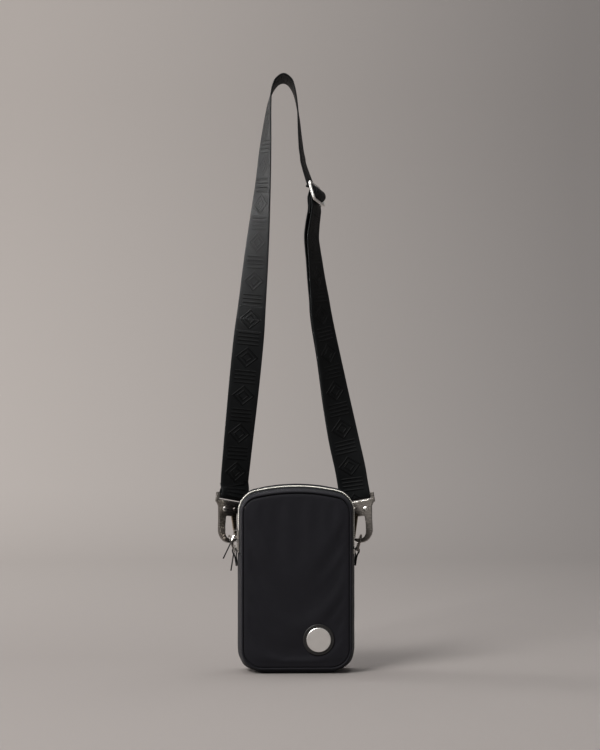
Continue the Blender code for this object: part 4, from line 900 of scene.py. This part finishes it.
def base_rounding(s, forward):
    """Inset of the soft lower corners: they lift beside the seams and swell between them."""
    s = s % PERIMETER
    normal = outline_point(s)[1]
    if normal[1] >= 0.0:
        return 0.0
    middle = run_length(RUNS[0]) + BASE_CORNER * CORNER_SLACK_TURN
    away = (min(s, PERIMETER - s) - middle) / CORNER_SLACK_RUN
    lift = CORNER_SLACK * math.exp(-away ** 2) * math.sin(math.pi * min(forward, 1.0) ** 1.5)
    steep = 2.0 * abs(normal[0] * normal[1])
    return lift - CORNER_FULLNESS * steep ** 2 * (1.0 - forward ** 2)


def slab(name, side, rim, near_y, far_y, material, crown):
    """Inner sheet or pad that fills the outline, a little crowned on both faces."""
    route = evenly(0.0, PERIMETER, SLAB_STEP)[:-1]
    middle = (near_y + far_y) / 2
    half = (far_y - near_y) / 2
    centre_z = BODY_HEIGHT * SLAB_CENTRE
    rings = []
    for share, face in SLAB_PROFILE:
        ring = []
        for s in route:
            p = on_body(s, rim, 0.0)
            y = side * (middle + face * (half - crown * share ** 2 * 0.5))
            ring.append((p.x * share, y, centre_z + (p.z - centre_z) * share))
        rings.append(ring)
    obj = sweep(name, rings, material)
    flat_uv(obj)
    return obj


def body():
    """All the fabric of the body."""
    for name, side, pull in (("front", -1, FRONT_PULL_IN), ("back", 1, BACK_PULL_IN)):
        rim = pull + PIPING_RADIUS + FIT * 2
        on_bag(cover(name + "_cover", side, pull, NYLON), "nylon", name + "_panel")
        on_bag(pipe(name + "_pipe", side, pull), "nylon", name + "_piping")
        skin = BODY_HALF_DEPTH + PIPING_RADIUS - PANEL_DEPTH
        pad = slab(name + "_pad", side, rim, skin - FIT - PAD_THICKNESS, skin - FIT, FOAM, PAD_CROWN)
        on_bag(pad, "foam", name + "_foam")
        face = skin - FIT * 2 - PAD_THICKNESS
        sheet = slab(name + "_lining_cloth", side, rim, face - LINING_THICKNESS, face, LINING, LINING_CROWN)
        on_bag(sheet, "lining", name + "_lining")
    pocket()
    edge = BODY_HALF_DEPTH - PIPING_RADIUS * WALL_TUCK
    start, end = left_side(ZIP_LEFT_END), right_side(ZIP_RIGHT_END)
    under = wall("gusset_cloth", evenly(end + FIT - PERIMETER, start - FIT, GUSSET_STEP),
                 np.linspace(-edge, edge, GUSSET_ROWS), GUSSET_WALL, NYLON)
    on_bag(under, "nylon", "bottom_gusset")
    run = evenly(start, end, ZIP_CLOTH_STEP)
    for name, low, high, lip in (("front", -edge, ZIP_Y - ZIP_SLOT_HALF, -ZIP_DIP),
                                 ("back", ZIP_Y + ZIP_SLOT_HALF, edge, ZIP_LIP)):
        depths = np.linspace(low, high, ZIP_CLOTH_ROWS)
        strip = wall("zip_cloth_" + name, run, depths, ZIP_FABRIC_WALL, NYLON, lip)
        on_bag(strip, "nylon", "zip_gusset_" + name)
    normals = [outward_at(s) for s in run]
    for name, side in (("front", -1), ("back", 1)):
        y = ZIP_Y + side * (ZIP_SLOT_HALF + ZIP_STITCH_INSET)
        line = [on_body(s, side_inset(y, outline_point(s)[1]) + ZIP_STITCH_SINK, y) for s in run]
        on_bag(stitches("zip_stitches_" + name, line, normals, ZIP_STITCH, THREAD), "nylon")


def pocket():
    """Flat pocket on the back lining."""
    low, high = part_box("inner_pocket")
    rings = []
    for z in np.linspace(low.z, high.z, POCKET_ROWS):
        swell = POCKET_SWELL * math.sin(math.pi * (z - low.z) / (high.z - low.z))
        shoulder = low.y + POCKET_SHOULDER - swell
        edge = low.y + POCKET_EDGE
        rings.append([(x, y, z) for x, y in (
            (low.x, edge), (low.x / 2, shoulder), (0.0, low.y - swell),
            (high.x / 2, shoulder), (high.x, edge), (high.x, high.y), (low.x, high.y))])
    on_bag(sweep("pocket_cloth", rings, LINING), "lining", "inner_pocket")


def on_bag(obj, slot, *nodes):
    """A piece of the bag's own body, which may stand for CAD nodes."""
    return dress(obj, "bag", slot, *nodes)


def dress(obj, body_name, slot, *nodes):
    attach(obj, body_name)
    if nodes:
        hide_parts(*nodes)
    return obj


# Zip

TAPE_STEP = 3.0 * MM


def chain_rise(s):
    """How far the closed chain stands up over the top of the bag."""
    return CHAIN_RISE * max(outline_point(s)[1][1], 0.0) ** 3


def tape(name, side):
    """Woven tape under the fabric, up to the chain."""
    chain_y = ZIP_Y + side * (SPINE_FAR + FIT / 2)
    fabric_y = ZIP_Y + side * (ZIP_SLOT_HALF - FIT)
    far_y = ZIP_Y + side * (ZIP_SLOT_HALF + TAPE_WIDTH / 2)
    rings = []
    for s in evenly(left_side(ZIP_LEFT_END), right_side(ZIP_RIGHT_END), TAPE_STEP):
        normal = outline_point(s)[1]
        at_chain = CHAIN_INSET + CHAIN_HEIGHT / 2 - TAPE_THICKNESS / 2 - chain_rise(s)
        at_fabric, at_end = [side_inset(y, normal) + ZIP_FABRIC_WALL + FIT for y in (fabric_y, far_y)]
        outer = [(at_chain, chain_y), ((at_chain + at_fabric) / 2, (chain_y + fabric_y) / 2),
                 (at_fabric, fabric_y), (at_end, far_y)]
        inner = [(inset + TAPE_THICKNESS, y) for inset, y in reversed(outer)]
        rings.append([on_body(s, inset, y) for inset, y in outer + inner])
    return sweep(name, rings, PLAIN_WEBBING)


TOOTH_SIDES = 8
TOOTH_LENGTH = 1.9 * MM
TOOTH_SECTIONS = [  # from the clamp on the tape to the head: reach share, half length, crown
    (0.0, 0.54, 0.86), (0.10, 0.66, 1.06), (0.42, 0.62, 1.06), (0.60, 0.34, 0.92),
    (0.80, 0.42, 0.96), (0.93, 0.38, 0.88), (1.0, 0.24, 0.62),
]


def squared(value):
    """A sine or cosine for a ring with full corners."""
    return math.copysign(abs(value) ** 0.6, value)


def chain(name, side, shift):
    """One row of metal teeth, each with a narrowed neck and a rounded head."""
    start = left_side(ZIP_LEFT_END) + STOP_WALL + FIT
    end = right_side(ZIP_RIGHT_END) - STOP_LENGTH - FIT
    count = int((end - start - shift) / TOOTH_PITCH)
    half_height = CHAIN_HEIGHT / 2
    far = side * SPINE_FAR
    verts = []
    faces = []
    for i in range(count):
        s = start + shift + i * TOOTH_PITCH + (TOOTH_PITCH / 2 - TOOTH_GAP) / 2
        parted = s < PERIMETER / 2 and on_body(s, 0.0, 0.0).z < CHANNEL_TOP
        tip = side * POST_CHANNEL_HALF if parted else -side * TOOTH_REACH
        faces += capped(len(verts), TOOTH_SIDES, len(TOOTH_SECTIONS))
        for share, half_length, crown in TOOTH_SECTIONS:
            y = ZIP_Y + far + (tip - far) * share
            for a in turn_angles(TOOTH_SIDES, 0.5):
                along = half_length * TOOTH_LENGTH / 2 * squared(math.cos(a))
                up = half_height * crown * squared(math.sin(a))
                verts.append(on_body(s + along, CHAIN_INSET + half_height - up - chain_rise(s), y))
    obj = make_piece(name, verts, faces, None, PALE_METAL)
    outward(obj)
    return obj


def zip_pieces():
    on_bag(tape("tape_cloth_front", -1), "webbing", "zip_tape_front")
    on_bag(tape("tape_cloth_back", 1), "webbing", "zip_tape_back")
    on_bag(chain("chain_front", -1, TOOTH_GAP / 2), "silver", "zip_teeth_front")
    on_bag(chain("chain_back", 1, TOOTH_GAP / 2 + TOOTH_PITCH / 2), "silver", "zip_teeth_back")


# Folded tabs


def folded_strip(name, bar, down, out, loop_radius, leg, gap, width, ply, material, columns):
    """A strip that lies across the bag's depth: down one leg, round a bar and down the other."""
    near = loop_radius * LEG_START_SHARE
    aside = (ply + gap) / 2
    route = [bar + down * leg - out * aside, bar + down * near - out * aside,
             bar + (down - out) * loop_radius]
    for i in range(7):
        angle = math.pi * i / 6
        route.append(bar - out * (loop_radius * math.cos(angle)) - down * (loop_radius * math.sin(angle)))
    route += [bar + (down + out) * loop_radius, bar + down * near + out * aside,
              bar + down * leg + out * aside]
    path = smooth_line(route)
    return ribbon(name, path, [Vector((0.0, 1.0, 0.0))] * len(path), width, ply, material, columns)


def ring_tab(name, side):
    bar = Vector((side * RING_BAR_X, RING_Y, RING_BAR_Z))
    foot = bar.z - TAB_FOOT_Z
    foot_x = BODY_WIDTH / 2 - side_inset(RING_Y - TAB_WIDTH / 2, (1.0, 0.0)) + FIT + TAB_PLY
    lean = math.atan2(RING_BAR_X - foot_x, foot)
    down = Vector((-side * math.sin(lean), 0.0, -math.cos(lean)))
    out = Vector((side * math.cos(lean), 0.0, -math.sin(lean)))
    obj = folded_strip(name + "_tab_cloth", bar, down, out, RING_WIRE + FIT + TAB_PLY / 2, foot, FIT,
                       TAB_WIDTH, TAB_PLY, PLAIN_WEBBING, 7)
    on_bag(obj, "webbing", name + "_ring_tab")


# Strap


class HookPlace:
    """Where one hook lies, as in the CAD part, with its yaw and lean in degrees."""

    def __init__(self, side, contact_x, yaw, lean):
        turn = (Matrix.Rotation(-side * math.radians(yaw), 3, "Z")
                @ Matrix.Rotation(-math.radians(lean), 3, "X") @ Matrix.Rotation(-side * HOOK_TILT, 3, "Y"))
        self.right = turn @ Vector((1.0, 0.0, 0.0))
        self.up = turn @ Vector((0.0, 0.0, 1.0))
        contact = Vector((side * contact_x, RING_Y, CONTACT_Z))
        self.rod = contact - self.right * (side * HOOK_CONTACT_U) + self.up * HOOK_CONTACT_V


LEFT_PLACE = HookPlace(-1, contact_x=69.2 * MM, yaw=28.5, lean=7.0)
RIGHT_PLACE = HookPlace(1, contact_x=68.0 * MM, yaw=13.0, lean=13.0)


class Spine:
    """Middle line of the strap with its own frame: along it, across its width and out of its face."""

    def __init__(self):
        left = LEFT_PLACE.rod
        right = RIGHT_PLACE.rod
        self.rod_z = (left.z + right.z) / 2
        rod_y = (left.y + right.y) / 2
        rows = []
        for height, side, depth, heading in STRAP_ROUTE_SHARES:
            angle = math.radians(heading)
            roll = ARCH_ROLL * max(math.sin(angle), 0.0) ** 6 * (height > ARCH_SHARE)
            across = (math.cos(angle), -math.sin(angle), math.sin(roll))
            z = self.rod_z + STRAP_RISE * height
            rows.append((side * STRAP_HALF_SPREAD, rod_y * depth, z, *across))
        rows = self.square_end(left, LEFT_PLACE.right, rows[0]) + rows
        rows += self.square_end(right, -RIGHT_PLACE.right, rows[-1])[::-1]
        table = smooth_through(rows, ROUTE_SAMPLES)
        self.points = table[:, :3]
        self.across = table[:, 3:]
        steps = np.linalg.norm(np.diff(self.points, axis=0), axis=1)
        self.distance = np.concatenate([[0.0], np.cumsum(steps)])
        self.length = float(self.distance[-1])
        self.slopes = np.gradient(self.points, self.distance, axis=0)

    @staticmethod
    def square_end(rod, across, towards):
        """Two rows at a rod: the webbing leaves it square to its axis and without twist."""
        away = Vector(towards[:3]) - rod
        away = (away - across * away.dot(across)).normalized() * SQUARE_RUN
        return [(*rod, *across), (*(rod + away), *across)]

    def frame(self, s):
        """Point, width direction and outward face direction at a distance s."""
        inside = min(max(s, 0.0), self.length)
        point, across, tangent = [
            look_up(rows, self.distance, inside) for rows in (self.points, self.across, self.slopes)]
        tangent.normalize()
        across = (across - tangent * across.dot(tangent)).normalized()
        return point + tangent * (s - inside), across, across.cross(tangent)

    def left_at(self, z):
        """Distance of a height on the left-hand run."""
        return float(self.distance[next(i for i, p in enumerate(self.points) if p[2] >= z)])

    def at_height(self, share):
        """Distance of a height on the right-hand run."""
        z = self.rod_z + STRAP_RISE * share
        half = len(self.points) // 2
        below = [i for i in range(half, len(self.points)) if self.points[i][2] <= z]
        return float(self.distance[below[0]])


def strap_route(spine):
    """The webbing's one length in (distance along the spine, distance out of its face)."""
    loop = ROD_RADIUS + FIT + LOOP_EASE + WEBBING_THICKNESS / 2
    near = PLY_HALF_SPACE
    length = spine.length
    middle = spine.at_height(ADJUSTER_SHARE)
    pitch = ADJUSTER_BAR_SPACING
    ply = WEBBING_THICKNESS + FIT + LOOP_EASE
    bar = ADJUSTER_BAR + FIT + LOOP_EASE + WEBBING_THICKNESS / 2
    level = near + bar  # face distance of the adjuster's bars
    lead = loop * LEAD_SHARE
    aside = loop * LEAD_SIDE_SHARE
    over = bar + ply
    ahead = middle - pitch
    first = SEWN_END * 5
    gentle = [first + (ahead - first) * i / PLAIN_STEPS for i in range(PLAIN_STEPS - 2)]
    top = middle + pitch * 2
    span = length - SEWN_END - top
    shares = [i / DOUBLE_STEPS for i in range(DOUBLE_STEPS + 1)]
    stack = near - ply * 2
    route = [  # sewn end, left rod and the single ply up to the adjuster
        (SEWN_END, -near), ((SEWN_END + lead) / 2, -near), (lead, -aside),
        *arc(0.0, 0.0, -loop, -loop, 90.0, -90.0),
        (lead, aside), ((SEWN_END + lead) / 2, near), (SEWN_END, near),
        (SEWN_END * 2, near), (SEWN_END * 4, 0.0),
        *[(s, 0.0) for s in gentle[:-2]], *[(s, near / 2) for s in gentle[-2:]],
        (ahead, near), (ahead + pitch * 0.28, near + bar * 0.35), (middle - pitch * 0.52, level),
    ]
    route += [  # over the sewn tail on the middle bar, down to the right rod and round it
        *arc(middle, level, -over, over, 45.0, 135.0),
        (middle + pitch * 0.52, level), (middle + pitch * 0.72, near + bar * 0.35),
        (middle + pitch, near), (middle + pitch * 1.5, near),
        *[(top + span * share, near) for share in shares],
        (length - lead, aside),
        *arc(length, 0.0, loop, loop, 90.0, -90.0),
        (length - lead, -aside),
    ]
    for share in shares:
        moved = min(max((share - STACK_START_SHARE) / STACK_RUN_SHARE, 0.0), 1.0)
        route.append((top + span * (1.0 - share), -near + (stack + near) * moved))
    route += [  # back up behind itself, round the middle bar and down to the sewn tail's end
        (middle + pitch, stack), (middle + pitch * 0.45, stack + ply * 0.55),
        *arc(middle, level, -bar, bar, -60.0, 180.0),
        (middle + pitch * 0.47, level - bar * 0.9), (middle + pitch * 0.75, near - ply * 0.75),
        (middle + pitch, near - ply), (middle + SEWN_TAIL / 2, near - ply), (middle + SEWN_TAIL, near - ply),
    ]
    return route


def arc(s, out, along, across, first, last):
    """Steps round a centre, between two angles in degrees."""
    count = max(int(abs(last - first) / LOOP_STEP), 1)
    turns = [math.radians(first + (last - first) * i / count) for i in range(count + 1)]
    return [(s + along * math.cos(a), out + across * math.sin(a)) for a in turns]


STRAP_SEAMS = [374.5 * MM, 362.5 * MM, 350.5 * MM]  # heights on the left
TAIL_SEAMS = [15.0 * MM, 21.5 * MM]  # below the adjuster's middle
SEAM_MARGIN = 2.2 * MM


def strap():
    """The woven strap as one length, with rows of stitches over its join and its sewn tail."""
    spine = Spine()
    path = []
    widths = []
    for s, out in strap_route(spine):
        point, across, face = spine.frame(s)
        path.append(point + face * out)
        widths.append(across)
    obj = ribbon("strap_cloth", smooth_line(path), smooth_line(widths),
                 WEBBING_WIDTH, WEBBING_THICKNESS, WEBBING, 11)
    dress(obj, "strap", "webbing", "strap_webbing")
    middle = spine.at_height(ADJUSTER_SHARE)
    half = WEBBING_WIDTH / 2 - SEAM_MARGIN
    near = WEBBING_THICKNESS / 2
    rows = [("join_%d" % i, spine.left_at(z), near) for i, z in enumerate(STRAP_SEAMS)]
    rows += [("tail_%d" % i, middle + s, near + PLY_HALF_SPACE) for i, s in enumerate(TAIL_SEAMS)]
    for name, s, out in rows:
        point, across, face = spine.frame(s)
        if face.y > 0.0:
            face = -face
        line = [point + across * (half * (k / 8 - 1.0)) + face * out for k in range(17)]
        seam = stitches("strap_stitches_" + name, line, [face] * len(line), STRAP_STITCH, SEAM_THREAD)
        dress(seam, "strap", "webbing")


# Pulls and badge

PULL_PLY = 0.7 * MM
PULL_WIRE = 0.6 * MM
PULL_GAP = 0.03 * MM


def node_points(name):
    return np.array([tuple(v.co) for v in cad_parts[name].data.vertices])


def pull_tab(name):
    """Leather tab folded through the pull's link, fitted to its CAD node's own solid."""
    points = node_points(name + "_tab")
    middle = points.mean(axis=0)
    flat = points[:, [0, 2]] - middle[[0, 2]]
    axis = np.linalg.eigh(flat.T @ flat)[1][:, 1]
    if axis[1] > 0:
        axis = -axis
    down = Vector((axis[0], 0.0, axis[1]))
    out = Vector((axis[1], 0.0, -axis[0]))
    along = flat @ axis
    radius = PULL_WIRE + FIT + PULL_PLY / 2
    fold = radius + PULL_PLY / 2
    bar = Vector(tuple(middle)) + down * (float(along.min()) + fold)
    leg = along.max() - along.min() - fold
    obj = folded_strip(name + "_leather", bar, down, out, radius, leg, PULL_GAP,
                       np.ptp(points[:, 1]), PULL_PLY, LEATHER, 5)
    dress(obj, name, "leather", name + "_tab")


BADGE_PROFILE = [  # share of the radius and of the thickness, from the face inwards and back out
    (0.05, 0.0), (0.6, 0.0), (0.97, 0.02), (1.0, 0.35), (0.985, 0.75), (0.955, 0.97), (0.93, 0.99),
    (0.91, 0.86), (0.885, 0.86), (0.865, 0.99), (0.80, 0.92), (0.5, 0.92), (0.05, 0.92),
]
BADGE_SEAM = (0.898, 0.90)


def badge():
    """Plain round patch with a groove of stitches round a bare metal plate."""
    low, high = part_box("badge_patch")
    radius = (high.x - low.x) / 2

    def circle(share, depth, angles):
        return [((low.x + high.x) / 2 + radius * share * math.cos(a), high.y - (high.y - low.y) * depth,
                 (low.z + high.z) / 2 + radius * share * math.sin(a)) for a in angles]

    rings = [circle(share, depth, turn_angles(72)) for share, depth in BADGE_PROFILE]
    on_bag(sweep("badge_leather", rings, LEATHER), "leather", "badge_patch")
    line = circle(*BADGE_SEAM, turn_angles(96) + [2 * math.pi])
    on_bag(stitches("badge_stitches", line, [(0.0, -1.0, 0.0)] * len(line), BADGE_STITCH, THREAD), "nylon")


RAIL_STEPS = 24
RAIL_LENGTH = 0.97  # share of the hook's width
# Shares of the rail's radius
RAIL_SAG = 0.6
RAIL_SUNK = 0.8
RAIL_PROUD = 0.35
RAIL_TAPER = 0.35


def hook_highlight_rail(name, place):
    """Rounded rail along the top edge of a hook's plate, below the webbing, in polished silver brighter than
    the hook's gunmetal: a painted highlight where that edge catches the top lamp.
    """
    half = HOOK_HALF_WIDTH * RAIL_LENGTH
    back = place.up.cross(place.right)
    rings = []
    for i in range(RAIL_STEPS + 1):
        u = -half + 2 * half * i / RAIL_STEPS
        sag = RAIL_RADIUS * RAIL_SAG * (abs(u) / half) ** 8
        middle = place.rod + place.right * u + place.up * (PLATE_TOP - RAIL_RADIUS * RAIL_SUNK - sag)
        taper = min(min(i, RAIL_STEPS - i) * RAIL_TAPER + RAIL_TAPER, 1.0)
        high = RAIL_RADIUS * taper
        deep = (HOOK_THICKNESS / 2 + RAIL_RADIUS * RAIL_PROUD) * taper
        rings.append([middle + place.up * (high * math.cos(a)) + back * (deep * math.sin(a))
                      for a in turn_angles(12)])
    # Painted highlight: silver in place of the hook's gunmetal along its lit top edge.
    dress(sweep(name + "_hook_highlight_rail", rings, SILVER), "strap", "gunmetal")


# Hard CAD pieces keep their shapes


def metal_finishes():
    for material, names in (
            (GUNMETAL, ("left_hook", "right_hook", "left_gate_pin", "right_gate_pin",
                        "left_d_ring", "right_d_ring")),
            (WARM_METAL, ("left_gate", "right_gate")),
            (SILVER, ("left_hook_rivet", "right_hook_rivet", "left_gate_spring", "right_gate_spring",
                      "lower_slider", "upper_slider", "lower_pull_link", "upper_pull_link",
                      "zip_stop_left", "zip_stop_right")),
            (PLATE_METAL, ("badge_plate", "strap_adjuster"))):
        for name in names:
            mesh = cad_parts[name].data
            mesh.materials.clear()
            mesh.materials.append(material)


# Stage

# Backdrop colours hold painted shade: lighter to the left, darker to the right, and darker on the floor than
# up the wall.
FLOOR_PAINTED_SHADE_X = (-0.35, 0.45)
WALL_PAINTED_SHADE_X = (-0.55, 0.65)
FLOOR_TO_WALL_PAINTED_SHADE_Y = (0.1, 1.5)
WALL_LEFT_PAINTED_LIGHT = (0.46, 0.425, 0.405)
WALL_RIGHT_PAINTED_SHADE = (0.275, 0.258, 0.252)
FLOOR_LEFT_PAINTED_SHADE = (0.262, 0.240, 0.230)
FLOOR_RIGHT_PAINTED_SHADE = (0.232, 0.214, 0.206)
STAGE_HALF_WIDTH = 3.2
FLOOR_NEAR_Y = -2.6
FLOOR_FAR_Y = 1.1
WALL_CURVE = 0.9
WALL_TOP = 3.4
CURVE_STEPS = 12
LAMPS = [  # name, place, target, size, watts, colour and spread in degrees
    ("key", (-1.4, -1.4, 2.1), (0.0, 0.0, 0.25), (1.1, 1.1), 80.0, (1.0, 0.985, 0.96), 180.0),
    ("fill", (1.7, -1.8, 1.1), (0.0, 0.0, 0.3), (1.5, 1.5), 1.5, (0.96, 0.98, 1.0), 180.0),
    ("top", (0.0, 0.25, 2.3), (0.0, 0.0, 0.2), (1.4, 1.0), 30.0, (1.0, 1.0, 1.0), 180.0),
    ("strap_side", (-1.55, 0.50, 0.95), (-0.03, 0.0, 0.50), (1.1, 0.5), 2.5, (1.0, 0.99, 0.98), 28.0),
    ("side", (-1.6, 0.25, 0.80), (0.0, 0.0, 0.45), (0.7, 0.9), 5.0, (1.0, 0.99, 0.97), 180.0),
]
WORLD_COLOUR = (0.62, 0.60, 0.585, 1.0)
WORLD_STRENGTH = 0.21


def stage():
    """Seamless pale backdrop: a floor that sweeps up into a wall, coloured with painted shade that darkens
    it to the right and on the floor.
    """
    profile = [(FLOOR_NEAR_Y, 0.0), (FLOOR_FAR_Y, 0.0)]
    for i in range(1, CURVE_STEPS + 1):
        a = math.pi / 2 * i / CURVE_STEPS
        profile.append((FLOOR_FAR_Y + WALL_CURVE * math.sin(a), WALL_CURVE * (1.0 - math.cos(a))))
    profile.append((FLOOR_FAR_Y + WALL_CURVE, WALL_TOP))
    points = [(x, y, z) for x in (-STAGE_HALF_WIDTH, STAGE_HALF_WIDTH) for y, z in profile]
    count = len(profile)
    faces = [(i, i + 1, count + i + 1, count + i) for i in range(count - 1)]
    made = Finish("backdrop_painted_shade", WALL_LEFT_PAINTED_LIGHT, 0.9, gloss=0.15)
    x, y, _ = made.axes(made.place())
    # Painted shade: the floor and the wall darken from left to right, and the floor is darker than the wall.
    floor = made.blend(made.spread(x, *FLOOR_PAINTED_SHADE_X), FLOOR_LEFT_PAINTED_SHADE, FLOOR_RIGHT_PAINTED_SHADE)
    wall_painted_shade = made.blend(made.spread(x, *WALL_PAINTED_SHADE_X), WALL_LEFT_PAINTED_LIGHT, WALL_RIGHT_PAINTED_SHADE)
    made.colour(made.blend(made.spread(y, *FLOOR_TO_WALL_PAINTED_SHADE_Y), floor, wall_painted_shade))
    make_piece("backdrop", points, faces, None, made.material)


def lights():
    for name, place, target, size, power, colour, spread in LAMPS:
        data = bpy.data.lights.new(name, "AREA")
        data.shape = "RECTANGLE"
        data.size, data.size_y = size
        data.energy = power
        data.color = colour
        data.spread = math.radians(spread)
        obj = add_object(name, data)
        obj.location = place
        obj.rotation_euler = (Vector(target) - Vector(place)).to_track_quat("-Z", "Y").to_euler()
    world = bpy.data.worlds.new("studio")
    bpy.context.scene.world = world
    world.use_nodes = True
    background = world.node_tree.nodes["Background"]
    background.inputs["Color"].default_value = WORLD_COLOUR
    background.inputs["Strength"].default_value = WORLD_STRENGTH


def camera():
    data = bpy.data.cameras.new("camera")
    data.sensor_fit = "VERTICAL"
    data.sensor_height = CAMERA_SENSOR
    data.lens = CAMERA_FOCAL_PIXELS * CAMERA_SENSOR / IMAGE_HEIGHT
    obj = add_object("camera", data)
    place = Vector((CAMERA_SIDE, -CAMERA_DISTANCE, CAMERA_HEIGHT))
    obj.matrix_world = (Matrix.Rotation(-CAMERA_TURN, 4, "Z") @ Matrix.Translation(place)
                        @ Matrix.Rotation(math.pi / 2, 4, "X"))
    bpy.context.scene.camera = obj


camera()
stage()
lights()
body()
zip_pieces()
ring_tab("left", -1)
ring_tab("right", 1)
strap()
hook_highlight_rail("left", LEFT_PLACE)
hook_highlight_rail("right", RIGHT_PLACE)
pull_tab("lower_pull")
pull_tab("upper_pull")
badge()
metal_finishes()
bpy.context.scene.view_settings.view_transform = "Standard"
